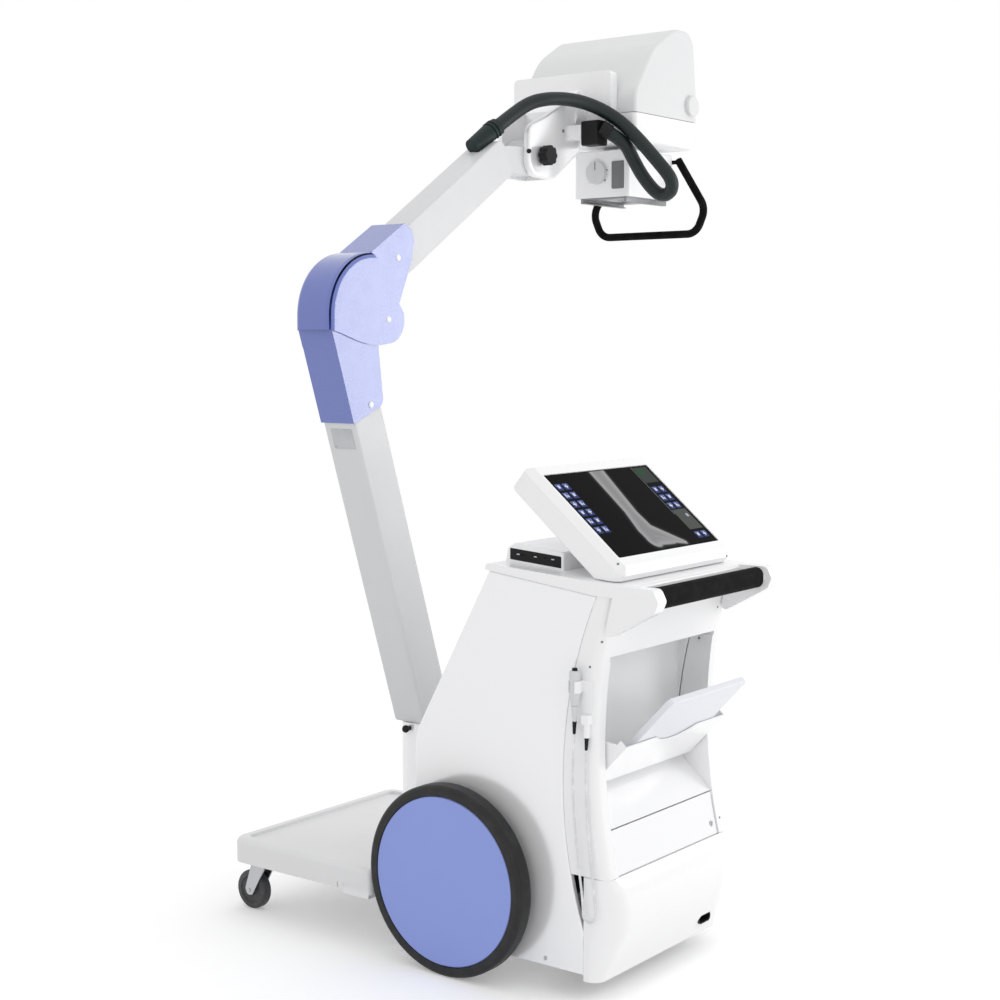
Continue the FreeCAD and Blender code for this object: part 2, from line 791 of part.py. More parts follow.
def handle_grip():
    """Thick oval grip on a through bar whose ends sit in the wings."""
    half = handle_length / 2
    end = cart_width / 2 + 2 - 13
    grip = outline_prism([(handle_x - handle_depth / 2, handle_z - handle_height / 2, handle_depth / 2 - 1),
                          (handle_x + handle_depth / 2, handle_z - handle_height / 2, handle_depth / 2 - 1),
                          (handle_x + handle_depth / 2, handle_z + handle_height / 2, handle_depth / 2 - 1),
                          (handle_x - handle_depth / 2, handle_z + handle_height / 2, handle_depth / 2 - 1)],
                         "xz", -half, half)
    grip = soften(grip, 5, lambda edge: edge.BoundBox.YLength < 0.1)
    bar = rod(stub_radius, V(handle_x, -end, handle_z), V(handle_x, end, handle_z))
    return grip.fuse(bar).removeSplitter()


def deck_height(x):
    """Upper surface of the console at a distance along the cart."""
    front = (deck_front_x - 9, deck_front_z + console_rise)
    rise = (console_ledge_z - front[1]) / (console_ledge_x - front[0])
    return front[1] + rise * (x - front[0])


def connector_box():
    """Raised housing on the deck, with its sloped front and the port panel's recess."""
    half = box_width / 2
    shell = outline_prism([(box_front_x, deck_height(box_front_x) + 0.1, 0),
                           (box_front_x + 6, box_top_z - 12, 6), (box_front_x + 26, box_top_z, 10),
                           (box_rear_x, box_top_z - 12, 8), (box_rear_x, deck_height(box_rear_x) + 0.1, 0)],
                          "xz", -half, half)
    shell = soften(shell, 4, lambda edge: edge.BoundBox.YLength < 0.1 and middle(edge).z > box_top_z - 30)
    recess = port_outline(0.2, -half - 1, -half + port_panel_thickness)
    return shell.cut(recess)


def port_outline(grow, y_low, y_high):
    return outline_prism([(box_front_x + 14 - grow, deck_height(box_front_x) + 5 - grow, 2),
                          (box_rear_x - 6 + grow, deck_height(box_rear_x) + 5 - grow, 2),
                          (box_rear_x - 6 + grow, box_top_z - 22 + grow, 2),
                          (box_front_x + 14 - grow, box_top_z - 12 + grow, 2)], "xz", y_low, y_high)


def connector_panel():
    """Dark port panel on the near side of the connector box, with three ports."""
    face = -box_width / 2
    panel = port_outline(0, face - 0.5, face + port_panel_thickness - 0.05)
    ports = []
    for step in range(3):
        x = box_front_x + 52 + 32 * step
        z = (deck_height(x) + box_top_z) / 2 - 3
        ports.append(box(x - 7, x + 7, face - 1, face + 1.2, z - 2.5, z + 2.5))
    return panel.cut(ports)


def place_monitor(solid):
    """Moves a piece from the screen's frame (X down the screen, Z out of it) to its place."""
    solid.rotate(V(0, 0, 0), ACROSS, screen_tilt)
    solid.translate(V(screen_centre_x, 0, screen_centre_z))
    return solid


def monitor_axis():
    """Hinge line along the housing's lower back edge, just above the deck."""
    return V(336.0, 0, deck_height(336.0) + monitor_barrel + 1.5)


def monitor_housing():
    """Deep white housing with a chamfered bezel, cut level below, with its hinge barrel."""
    half_w = housing_width / 2
    half_h = housing_height / 2
    body = outline_prism([(-half_h, -half_w, 20), (half_h, -half_w, 20), (half_h, half_w, 20),
                          (-half_h, half_w, 20)], "xy", -housing_depth, 0)
    body = body.makeChamfer(bezel_chamfer, [edge for edge in body.Edges if abs(middle(edge).z) < 0.1])
    body = soften(body, 6, lambda edge: abs(middle(edge).z + housing_depth) < 0.1)
    glass = outline_prism([(-screen_height / 2, -screen_width / 2, 4), (screen_height / 2, -screen_width / 2, 4),
                           (screen_height / 2, screen_width / 2, 4), (-screen_height / 2, screen_width / 2, 4)],
                          "xy", -8, 1)
    axis = monitor_axis()
    foot_gap = 2.0
    under = outline_prism([(200, deck_height(200) + foot_gap, 0), (480, deck_height(480) + foot_gap, 0),
                           (480, 800, 0), (200, 800, 0)], "xz", -half_w - 5, half_w + 5)
    housing = place_monitor(body.cut(glass)).cut(under)
    barrel = rod(monitor_barrel, axis - V(0, monitor_ear_y - body_gap, 0), axis + V(0, monitor_ear_y - body_gap, 0))
    pockets = []
    for side in (NEAR, FAR):
        low, high = sorted((side * (monitor_ear_y - 0.01), side * (monitor_ear_y + monitor_ear + 2)))
        pockets.append(box(axis.x - 40, axis.x + 14, low, high, axis.z - 30, axis.z + 13))
    bore = rod(monitor_pin_radius + running_gap, axis - V(0, 90, 0), axis + V(0, 90, 0))
    trimmed = housing.fuse(barrel).removeSplitter()
    return trimmed.cut(pockets + [bore])


def monitor_screen():
    inset = 0.3
    half_h = screen_height / 2 - inset
    half_w = screen_width / 2 - inset
    glass = outline_prism([(-half_h, -half_w, 3.7), (half_h, -half_w, 3.7), (half_h, half_w, 3.7),
                           (-half_h, half_w, 3.7)], "xy", -8, -screen_inset)
    return place_monitor(glass)


def monitor_bracket():
    """Two ears on the deck with the hinge pin between them."""
    axis = monitor_axis()
    ears = []
    for side in (NEAR, FAR):
        low, high = sorted((side * monitor_ear_y, side * (monitor_ear_y + monitor_ear)))
        foot = outline_prism([(axis.x - 16, deck_height(axis.x - 16) + 0.05, 0), (axis.x - 8, axis.z + 2, 0),
                              (axis.x + 8, axis.z, 0), (axis.x + 6, deck_height(axis.x + 6) + 0.05, 0)],
                             "xz", low, high)
        ears.append(foot)
        ears.append(rod(monitor_barrel, V(axis.x, low, axis.z), V(axis.x, high, axis.z)))
    end = monitor_ear_y + monitor_ear
    pin = rod(monitor_pin_radius, V(axis.x, -end, axis.z), V(axis.x, end, axis.z))
    return pin.fuse(ears).removeSplitter()


def caster_plate_piece():
    """Top plate of the near caster with its swivel boss."""
    plate = outline_prism([(caster_x - 46, -caster_y - 40, 8), (caster_x + 46, -caster_y - 40, 8),
                           (caster_x + 46, -caster_y + 40, 8), (caster_x - 46, -caster_y + 40, 8)],
                          "xy", rail_bottom - caster_plate, rail_bottom)
    pin_hole = rod(8 + running_gap, V(caster_x, -caster_y, rail_bottom - caster_plate - 6),
                   V(caster_x, -caster_y, rail_bottom - 1))
    boss = rod(24, V(caster_x, -caster_y, rail_bottom - caster_plate - 5),
               V(caster_x, -caster_y, rail_bottom - caster_plate + 1))
    return plate.fuse(boss).removeSplitter().cut(pin_hole)


def caster_fork_piece():
    """Swivelling fork with its riveted axle, trailing the wheel forward."""
    crown_top = rail_bottom - caster_plate - 5 - body_gap
    crown = rod(24, V(caster_x, -caster_y, crown_top - 7), V(caster_x, -caster_y, crown_top))
    pin = rod(8, V(caster_x, -caster_y, crown_top - 5), V(caster_x, -caster_y, rail_bottom - 2))
    wheel_x = caster_x - caster_trail
    cheeks = []
    inner = caster_width / 2 + 1.2
    for side in (NEAR, FAR):
        low, high = sorted((side * inner, side * (inner + fork_wall)))
        cheeks.append(outline_prism([(caster_x + 22, crown_top, 4), (caster_x - 22, crown_top, 4),
                                     (wheel_x - 13, caster_radius + 4, 12), (wheel_x - 6, caster_radius - 13, 10),
                                     (wheel_x + 12, caster_radius - 10, 10), (caster_x + 22, crown_top - 10, 6)],
                                    "xz", -caster_y + low, -caster_y + high))
    bridge = box(caster_x - 20, caster_x + 20, -caster_y - inner - fork_wall, -caster_y + inner + fork_wall,
                 crown_top - 7, crown_top)
    reach = inner + fork_wall + 2
    axle = rod(caster_axle_radius, V(wheel_x, -caster_y - reach, caster_radius),
               V(wheel_x, -caster_y + reach, caster_radius))
    return crown.fuse([pin, bridge, axle] + cheeks).removeSplitter()


def caster_wheel_piece():
    """Tyred caster wheel, turning on the fork's axle."""
    half = caster_width / 2
    bore = caster_axle_radius + running_gap
    return revolve([(bore, -half, 0), (15, -half, 0), (17, -half + 4, 0), (32, -half + 4, 0),
                    (35, -half, 0), (caster_radius, -half + 1, 8), (caster_radius, half - 1, 8), (35, half, 0),
                    (32, half - 4, 0), (17, half - 4, 0), (15, half, 0), (bore, half, 0)],
                   V(caster_x - caster_trail, -caster_y, caster_radius), 1, "across")


def column_axis_y(z):
    """Middle of the leaning column at a height, in the plane of the arm."""
    return -(z - turret_top - 5) * math.tan(math.radians(column_lean))


def column_near(z):
    return column_axis_y(z) - column_half_y


def column_far(z):
    return column_axis_y(z) + column_half_y


def column():
    """Leaning box column with its swivel spigot and the elbow's two cheeks."""
    foot = turret_top + body_gap
    low_x = turret_x - column_half_x
    high_x = turret_x + column_half_x
    shaft = outline_prism([(column_near(foot), foot, 10), (column_far(foot), foot, 10),
                           (column_far(column_head_z), column_head_z, 0),
                           (column_near(column_head_z), column_head_z, 0)], "yz", low_x, high_x)
    shaft = soften(shaft, 8, lambda edge: edge.BoundBox.ZLength > 400)
    wall = column_wall
    low = foot + 70
    high = column_head_z - 24
    bore = outline_prism([(column_near(low) + wall, low, 0), (column_far(low) - wall, low, 0),
                          (column_far(high) - wall, high, 0), (column_near(high) + wall, high, 0)],
                         "yz", low_x + wall, high_x - wall)
    cheeks = []
    root = column_head_z - 30
    for side in (NEAR, FAR):
        inner, outer = sorted((turret_x + side * cheek_inner, turret_x + side * column_half_x))
        cheeks.append(outline_prism([(column_near(root) + 1, root, 0), (column_far(root) - 1, root, 0),
                                     (elbow_y - 44, elbow_z - 68, 0), (elbow_y - 26, elbow_z - 41.7, 0),
                                     (elbow_y, elbow_z - 20, 0), (elbow_y, elbow_z + cheek_radius - 6, 0),
                                     (elbow_y - 60, elbow_z + 20, 20), (elbow_y - 145, elbow_z - 90, 40)],
                                    "yz", inner, outer))
        cheeks.append(rod(cheek_radius, V(inner, elbow_y, elbow_z), V(outer, elbow_y, elbow_z)))
    spigot = rod(spigot_radius, V(turret_x, 0, turret_top - spigot_depth), V(turret_x, 0, foot + 8))
    solid = shaft.cut(bore).fuse(cheeks + [spigot]).removeSplitter()
    pin_hole = rod(elbow_pin_radius + running_gap, V(turret_x - 60, elbow_y, elbow_z), V(turret_x + 60, elbow_y, elbow_z))
    return solid.cut(pin_hole)


def balance_spring():
    """Sealed spring cartridge inside the column that balances the arm."""
    direction = V(0, -math.sin(math.radians(column_lean)), math.cos(math.radians(column_lean)))
    low = turret_top + 72.8
    start = V(turret_x, column_axis_y(low), low) + direction * 24
    can = rod(30, start, start + direction * 560)
    eye = rod(12, start - direction * 22, start + direction * 2)
    pull = rod(7, start + direction * 558, start + direction * 800)
    return can.fuse([eye, pull]).removeSplitter()


def elbow_pin():
    return rod(elbow_pin_radius, V(turret_x - column_half_x, elbow_y, elbow_z),
               V(turret_x + column_half_x, elbow_y, elbow_z))


def elbow_lower_cover():
    """Fixed shell over the column's head, with a sleeve that stays inside the dome."""
    half = column_half_x + skin_gap + skin_wall
    skin = skin_gap + skin_wall
    brim = skin + collar_step
    far_foot = -205.0
    far_collar = -222.0
    lip_z = 1478.0
    low = outline_prism([(column_near(skin_bottom_near) - skin, skin_bottom_near, 2),
                         (far_foot, skin_bottom_far, 20), (far_collar, collar_z, 0),
                         (column_near(collar_z) - skin, collar_z, 0)], "yz", turret_x - half, turret_x + half)
    collar = outline_prism([(column_near(collar_z) - brim, collar_z, 0), (far_collar + collar_step, collar_z, 0),
                            (elbow_y - 35, elbow_z - 55, 0), (elbow_y - 24, elbow_z - 41, 0),
                            (elbow_y - 6, elbow_z - 20, 0), (elbow_y + 18, elbow_z + 43, 10),
                            (elbow_y - 60, elbow_z + 100, 20), (elbow_y - 161, elbow_z + 93, 12),
                            (elbow_y - 187, elbow_z + 33, 80), (column_near(lip_z) - brim, lip_z, 0)],
                           "yz", turret_x - half - 0.5, turret_x + half + 0.5)
    inner_half = column_half_x + skin_gap
    inner = outline_prism([(column_near(1200) - skin_gap, 1200, 0), (far_foot + 10.5, 1200, 0),
                           (far_collar - 3, collar_z, 0), (elbow_y - 36.8, elbow_z - 62, 0),
                           (elbow_y + 250, elbow_z - 62, 0), (elbow_y + 250, elbow_z + 200, 0),
                           (elbow_y - 140, elbow_z + 200, 0), (elbow_y - 158, elbow_z + 92, 0),
                           (elbow_y - 184, elbow_z + 32, 80), (column_near(lip_z) - skin_gap, lip_z, 0)],
                          "yz", turret_x - inner_half, turret_x + inner_half)
    pin_hole = rod(elbow_pin_radius + 0.4, V(turret_x - 80, elbow_y, elbow_z), V(turret_x + 80, elbow_y, elbow_z))
    return low.fuse(collar).removeSplitter().cut([inner, pin_hole])


def arm_point(along, above):
    """A point in the plane of the arm, measured from the elbow pin along and above the arm."""
    angle = math.radians(arm_angle)
    return (elbow_y + along * math.cos(angle) - above * math.sin(angle),
            elbow_z + along * math.sin(angle) + above * math.cos(angle))


def wrist_point():
    y, z = arm_point(wrist_along, wrist_above)
    return V(turret_x, y, z)


def arm_outline(points, half):
    return outline_prism([arm_point(along, above) + (radius,) for along, above, radius in points],
                         "yz", turret_x - half, turret_x + half)


def upper_arm():
    """Box beam with a knuckle for the elbow pin and a tongue for the wrist pin."""
    low = arm_offset - arm_depth / 2
    high = arm_offset + arm_depth / 2
    beam = arm_outline([(beam_start, low, 4), (beam_end, low, 6), (beam_end, high, 20), (beam_start, high, 12)],
                       arm_half_x)
    beam = soften(beam, 4, lambda edge: edge.BoundBox.YLength > 400 and edge.BoundBox.ZLength > 200)
    knuckle_half = cheek_inner - body_gap
    knuckle = arm_outline([(-38, -38, 36), (38, -38, 36), (42, 4, 8), (100, low + 4, 6), (140, low + 18, 0),
                           (140, low + 40, 0), (beam_start + 5, high - 20, 0), (-38, 60, 20)], knuckle_half)
    reach = tongue_radius
    tongue = arm_outline([(beam_end - 60, low + 10, 0), (beam_end, low, 0), (wrist_along - 20, wrist_above - reach, 20),
                          (wrist_along + reach, wrist_above - reach, reach - 1),
                          (wrist_along + reach, wrist_above + reach, reach - 1),
                          (wrist_along - 34, wrist_above + reach, 30),
                          (beam_end, high - 22, 10), (beam_end - 60, high - 22, 0)], tongue_half)
    hollow = arm_outline([(170, low + arm_wall, 0), (beam_end - 80, low + arm_wall, 0),
                          (beam_end - 80, high - arm_wall, 0), (170, high - arm_wall, 0)], arm_half_x - arm_wall)
    bosses = []
    for side in (NEAR, FAR):
        for along, above in ((115, arm_offset), (80, arm_offset + 10)):
            y, z = arm_point(along, above)
            bosses.append(rod(9, V(turret_x + side * (arm_half_x - 2), y, z),
                              V(turret_x + side * (neck_half - cover_wall), y, z)))
    arm = beam.fuse([knuckle, tongue] + bosses).removeSplitter().cut(hollow)
    elbow = rod(elbow_pin_radius + running_gap, V(turret_x - 60, elbow_y, elbow_z), V(turret_x + 60, elbow_y, elbow_z))
    wrist = rod(wrist_pin_radius + running_gap, wrist_point() - V(60, 0, 0), wrist_point() + V(60, 0, 0))
    return arm.cut([elbow, wrist])


def from_elbow(points):
    """Outline points measured from the elbow pin, as places in the arm's plane."""
    return [(elbow_y + y, elbow_z + z, corner) for y, z, corner in points]


def dome_wire(inset):
    """Side view of the elbow dome: back arc, lobe round the pin and S-shaped lower seam."""
    centre = V(elbow_y + dome_back, elbow_z + dome_rise, 0)
    radius = dome_radius - inset
    diagonal = radius * math.sqrt(0.5)
    back = centre + V(-radius, 0, 0)
    crest = centre + V(0, radius, 0)
    over = centre + V(-diagonal, diagonal, 0)
    pin = V(elbow_y, elbow_z, 0)
    lobe = lobe_radius - inset
    lobe_start = pin + V(lobe * 0.95, lobe * 0.312, 0)
    lobe_middle = pin + V(lobe * 0.866, -lobe * 0.5, 0)
    lobe_end = pin + V(0, -lobe, 0)
    heel = V(back.x, elbow_z - 25, 0)
    seam = Part.BSplineCurve()
    seam.interpolate([lobe_end, pin + V(-58, -60, 0), pin + V(-103, -52, 0), pin + V(-156, -36, 0), heel])
    edges = [Part.Arc(back, over, crest).toShape(), Part.LineSegment(crest, lobe_start).toShape(),
             Part.Arc(lobe_start, lobe_middle, lobe_end).toShape(), seam.toShape(),
             Part.LineSegment(heel, back).toShape()]
    return Part.Wire(edges)


def elbow_upper_cover():
    """Domed shell that turns with the arm, with its narrower neck round the beam."""
    wall = cover_wall
    dome = prism(dome_wire(0), "yz", turret_x - dome_half, turret_x + dome_half)
    dome = soften(dome, 16, lambda edge: edge.BoundBox.XLength < 0.1 and middle(edge).y < elbow_y - 100
                  and middle(edge).z > elbow_z + 60)
    inside_half = dome_half - wall
    inside = prism(dome_wire(wall), "yz", turret_x - inside_half, turret_x + inside_half)
    open_foot = outline_prism(from_elbow([(dome_back - dome_radius + wall, -120, 0), (12, -120, 0), (12, -20, 0),
                                          (dome_back - dome_radius + wall, -10, 0)]),
                              "yz", turret_x - inside_half, turret_x + inside_half)
    neck = outline_prism(from_elbow([(-60, 140, 0), (-52, 158.5, 0), (66, 231, 5), (94, 214, 10), (101, 190, 12),
                                     (88, 136, 60), (46, 40, 8), (20, 20, 0)]),
                         "yz", turret_x - neck_half, turret_x + neck_half)
    beam_way = outline_prism(from_elbow([(-70, 100, 0), (-49, 155.4, 0), (160, 283.7, 0), (160, 150, 0),
                                         (78, 97, 0), (44.5, 40, 0), (20, 10, 0)]),
                             "yz", turret_x - neck_half + wall, turret_x + neck_half - wall)
    solid = dome.fuse(neck).removeSplitter()
    return solid.cut([inside, open_foot, beam_way])


def hose_boot():
    """Ribbed gland on top of the arm where the power hose comes out."""
    start = V(*HOSE_ROUTE[0])
    ahead = V(*HOSE_ROUTE[1])
    direction = (ahead - start).normalize()
    tail = start - direction * 104
    sleeve = Part.makeCone(21, 25, 70, tail, direction)
    collar = rod(24, tail + direction * 68, start)
    ribs = [rod(26.5, tail + direction * place, tail + direction * (place + 6)) for place in (74, 86)]
    top = arm_offset + arm_depth / 2
    arm_body = arm_outline([(100, top - 120, 0), (beam_end + 60, top - 120, 0), (beam_end + 60, top, 0),
                            (100, top, 0)], dome_half)
    return sleeve.fuse([collar] + ribs).removeSplitter().cut(arm_body)


def route_wire(points):
    """Straight runs joined by tangent arcs, each as large as its two runs allow."""
    places = [V(*point) for point in points]
    edges = []
    radii = []
    start = places[0]
    for index in range(1, len(places) - 1):
        corner = places[index]
        back = places[index - 1] - corner
        ahead = places[index + 1] - corner
        turn = math.pi - back.getAngle(ahead)
        reach = 0.45 * min(back.Length, ahead.Length)
        radius = reach / math.tan(turn / 2)
        radii.append(radius)
        back.normalize()
        ahead.normalize()
        first = corner + back * reach
        last = corner + ahead * reach
        bisector = (back + ahead).normalize()
        centre_distance = radius / math.cos(turn / 2)
        middle_point = corner + bisector * (centre_distance - radius)
        edges.append(Part.LineSegment(start, first).toShape())
        edges.append(Part.Arc(first, middle_point, last).toShape())
        start = last
    edges.append(Part.LineSegment(start, places[-1]).toShape())
    return Part.Wire(edges), radii


def route_tube(points, radius, name):
    """A round tube along a route; prints its bends, its length and how full its volume is."""
    path, radii = route_wire(points)
    start = V(*points[0])
    direction = V(*points[1]) - start
    profile = Part.Wire(Part.makeCircle(radius, start, direction))
    tube = path.makePipeShell([profile], True, True)
    share = tube.Volume / (math.pi * radius ** 2 * path.Length)
    print(name, "length", round(path.Length), "tightest bend", round(min(radii), 1), "volume share", round(share, 4))
    return tube


def hv_hose():
    return route_tube(HOSE_ROUTE, hose_radius, "hose")


def switch_cord():
    return route_tube(CORD_ROUTE, cord_radius, "cord")


def cable_block():
    """Receptacle on the bracket's side that takes the hose's far end."""
    end = V(*HOSE_ROUTE[-1])
    body = outline_prism([(end.y - 34, end.z - 32, 6), (end.y + 14, end.z - 32, 6),
                          (end.y + 14, end.z + 34, 6), (end.y - 34, end.z + 34, 6)],
                         "yz", block_x, block_x + block_length)
    before = V(*HOSE_ROUTE[-2])
    direction = (before - end).normalize()
    nozzle = Part.makeCylinder(21, 30, end - direction * 30, direction)
    return body.fuse(nozzle).removeSplitter()


def head_bracket():
    """Cast knuckle from the wrist pin up to the trunnion bearing, with its clamp screw."""
    wrist = wrist_point()
    end = bracket_end_y
    solid = outline_prism([(wrist.y - 60, wrist.z - 54, 44), (wrist.y + 56, wrist.z - 58, 40),
                           (end, trunnion_z - 98, 10), (end, trunnion_z + 72, 10),
                           (wrist.y + 20, wrist.z + 106, 40), (wrist.y - 52, wrist.z + 76, 40)],
                          "yz", turret_x - bracket_half, turret_x + bracket_half)
    solid = soften(solid, 7, lambda edge: abs(abs(middle(edge).x - turret_x) - bracket_half) < 0.1)
    slot_half = tongue_half + body_gap
    slot_end = wrist.y + tongue_radius + 2.6
    slot = box(turret_x - slot_half, turret_x + slot_half, wrist.y - 150, slot_end, wrist.z - 150, wrist.z + 250)
    pin = rod(wrist_pin_radius, wrist - V(bracket_half - 4, 0, 0), wrist + V(bracket_half + 6, 0, 0))
    bearing = rod(flange_radius, V(turret_x, end - 30, trunnion_z), V(turret_x, end + 4, trunnion_z))
    boss = box(turret_x + bracket_half - 6, block_x, end - 36, end - 8, trunnion_z - 72, trunnion_z - 32)
    socket = rod(trunnion_radius + running_gap, V(turret_x, end - 70, trunnion_z), V(turret_x, end + 10, trunnion_z))
    return solid.cut(slot).fuse([pin, bearing, boss]).removeSplitter().cut(socket)


def tilt_knob():
    """Lobed clamp knob on the wrist pin's visible end."""
    wrist = wrist_point()
    start = wrist + V(bracket_half + 6 + body_gap, 0, 0)
    knob = rod(26, start, start + V(26, 0, 0))
    flutes = []
    for step in range(8):
        angle = math.radians(45 * step + 22.5)
        place = start + V(-1, 31 * math.cos(angle), 31 * math.sin(angle))
        flutes.append(rod(8, place, place + V(30, 0, 0)))
    knob = knob.cut(flutes)
    return soften(knob, 2, lambda edge: middle(edge).x > start.x + 25.9)


def head_profile(inset=0.0):
    """End view of the tube head's cover: steep far side, broad curve on the near side."""
    wire = rounded([(head_near_y, head_seam, 0), (head_far_y + 2, head_seam, 0),
                    (head_far_y + 2, head_seam + 76, 80), (head_far_y - 20, head_top, 48),
                    (head_far_y - 115, head_top, 90), (head_near_y + 86, head_top - 66, 160),
                    (head_near_y, head_seam + 56, 70)])
    return wire.makeOffset2D(-inset) if inset else wire


def head_cover():
    """Arched upper shell of the tube head, closed at both ends and open below."""
    outer = prism(head_profile(), "yz", head_back_x, head_front_x)
    outer = soften(outer, 9, lambda edge: edge.BoundBox.XLength < 0.1 and middle(edge).z > head_seam + 1)
    wall = head_wall
    inner = prism(head_profile(wall), "yz", head_back_x + wall, head_front_x - wall)
    mouth = box(head_back_x + wall, head_front_x - wall, head_near_y + wall, head_far_y - wall,
                head_seam - 1, head_seam + wall + 20)
    boss_y = head_far_y - 32
    boss = rod(end_boss_radius, V(head_front_x - wall, boss_y, head_seam + 42), V(head_front_x + 12, boss_y, head_seam + 42))
    boss = soften(boss, 4, lambda edge: middle(edge).x > head_front_x + 11.9)
    return outer.cut([inner, mouth]).fuse(boss).removeSplitter()


def head_base():
    """Lower half of the tube head with the saddle and the trunnion that the bracket carries."""
    tray = outline_prism([(head_back_x, head_near_y, 14), (head_front_x, head_near_y, 14),
                          (head_front_x, head_far_y, 26), (head_back_x, head_far_y, 26)],
                         "xy", head_bottom, head_seam - seam_gap)
    tray = soften(tray, 10, lambda edge: abs(middle(edge).z - head_bottom) < 0.1)
    saddle = outline_prism([(head_back_x + 4, trunnion_z - 60, 14), (head_front_x - 60, trunnion_z - 60, 14),
                            (head_front_x - 60, saddle_top, 14), (head_back_x + 4, saddle_top, 14)],
                           "xz", saddle_near_y, head_near_y - body_gap)
    flange = rod(flange_radius - 4, V(turret_x, bracket_end_y + 4 + body_gap, trunnion_z),
                 V(turret_x, saddle_near_y + 1, trunnion_z))
    shaft = rod(trunnion_radius, V(turret_x, bracket_end_y - 66, trunnion_z),
                V(turret_x, bracket_end_y + 8, trunnion_z))
    web = box(head_back_x + 30, head_front_x - 90, head_near_y - 6, head_near_y + 4,
              trunnion_z - 55, head_seam - seam_gap - 6)
    neck = rod(collimator_collar, V(collimator_x, collimator_y, head_bottom - collar_height),
               V(collimator_x, collimator_y, head_bottom + 2))
    beam = rod(30, V(collimator_x, collimator_y, head_bottom - collar_height - 1),
               V(collimator_x, collimator_y, head_bottom + 14))
    solid = tray.fuse([saddle, flange, shaft, web, neck]).removeSplitter()
    return solid.cut(beam)


def xray_tube():
    """Oil-filled tube insert lying along the head."""
    z = head_seam + 92
    y = (head_near_y + head_far_y) / 2 + 10
    start = V(head_back_x + 42, y, z)
    end = V(head_front_x - 42, y, z)
    barrel = rod(70, start, end)
    caps = [rod(52, start - V(24, 0, 0), start + V(1, 0, 0)), rod(52, end - V(1, 0, 0), end + V(24, 0, 0))]
    port = rod(34, V(collimator_x, y, head_seam - seam_gap), V(collimator_x, y, z - 20))
    return barrel.fuse(caps + [port]).removeSplitter()


def collimator_top():
    return head_bottom - collar_height - body_gap


def collimator_body():
    """Boxed light-beam collimator, hollow, open above and below for the beam."""
    half_l = collimator_length / 2
    half_w = collimator_width / 2
    top = collimator_top()
    shell = outline_prism([(collimator_x - half_l, collimator_y - half_w, 10),
                           (collimator_x + half_l, collimator_y - half_w, 10),
                           (collimator_x + half_l, collimator_y + half_w, 10),
                           (collimator_x - half_l, collimator_y + half_w, 10)], "xy", collimator_bottom, top)
    shell = soften(shell, 5, lambda edge: abs(middle(edge).z - top) < 0.1)
    wall = 6.0
    hollow = box(collimator_x - half_l + wall, collimator_x + half_l - wall, collimator_y - half_w + wall,
                 collimator_y + half_w - wall, collimator_bottom + wall, top - wall)
    window = box(collimator_x - 52, collimator_x + 52, collimator_y - 52, collimator_y + 52,
                 collimator_bottom - 1, collimator_bottom + wall + 1)
    eye = rod(34, V(collimator_x, collimator_y, top - wall - 1), V(collimator_x, collimator_y, top + 1))
    place = dial_place()
    dial_hole = rod(5 + running_gap, place - V(0, 2, 0), place + V(0, 10, 0))
    return shell.cut([hollow, window, eye, dial_hole, lamp_outline(0, 1, wall + 1)])


def dial_place():
    """Centre of the field-size dial on the collimator's near face."""
    return V(collimator_x - 13, collimator_y - collimator_width / 2, collimator_bottom + 69)


def lamp_outline(grow, depth_out, depth_in):
    """The lamp rocker's upright slot in the near face, grown by a clearance."""
    near = collimator_y - collimator_width / 2
    return outline_prism([(collimator_x + 36 - grow, collimator_bottom + 22 - grow, 4),
                          (collimator_x + 76 + grow, collimator_bottom + 22 - grow, 4),
                          (collimator_x + 76 + grow, collimator_bottom + 98 + grow, 4),
                          (collimator_x + 36 - grow, collimator_bottom + 98 + grow, 4)],
                         "xz", near - depth_out, near + depth_in)


def field_dial():
    """Turned dial with its shaft through the collimator's wall."""
    place = dial_place()
    body = rod(dial_radius, place - V(0, body_gap, 0), place - V(0, dial_height, 0))
    body = soften(body, 3, lambda edge: abs(middle(edge).y - place.y + dial_height) < 0.1)
    shaft = rod(5, place - V(0, 2, 0), place + V(0, 16, 0))
    notch = box(place.x - 1.5, place.x + 1.5, place.y - dial_height - 1, place.y - dial_height + 1.5,
                place.z + 8, place.z + dial_radius + 1)
    return body.fuse(shaft).removeSplitter().cut(notch)


def lamp_button():
    """Upright push plate that lights the field, standing a little proud of the near face."""
    plate = lamp_outline(-0.4, 3, 5.4)
    return soften(plate, 1, lambda edge: abs(middle(edge).y - collimator_y + collimator_width / 2 + 3) < 0.1)


def filter_rails():
    """Dark frame with two accessory rails under the collimator's window."""
    half_l = collimator_length / 2 - 14
    half_w = collimator_width / 2 - 12
    low = collimator_bottom - rail_frame_height
    plate = box(collimator_x - half_l, collimator_x + half_l, collimator_y - half_w, collimator_y + half_w,
                collimator_bottom - 4, collimator_bottom)
    rails = []
    for side in (NEAR, FAR):
        low_x, high_x = sorted((collimator_x + side * half_l, collimator_x + side * (half_l - 9)))
        rails.append(box(low_x, high_x, collimator_y - half_w, collimator_y + half_w, low, collimator_bottom - 3))
        lip_low, lip_high = sorted((collimator_x + side * half_l, collimator_x + side * (half_l - 16)))
        rails.append(box(lip_low, lip_high, collimator_y - half_w, collimator_y + half_w, low, low + 3))
    opening = box(collimator_x - 56, collimator_x + 56, collimator_y - 56, collimator_y + 56, low - 1,
                  collimator_bottom + 1)
    return plate.fuse(rails).removeSplitter().cut(opening)


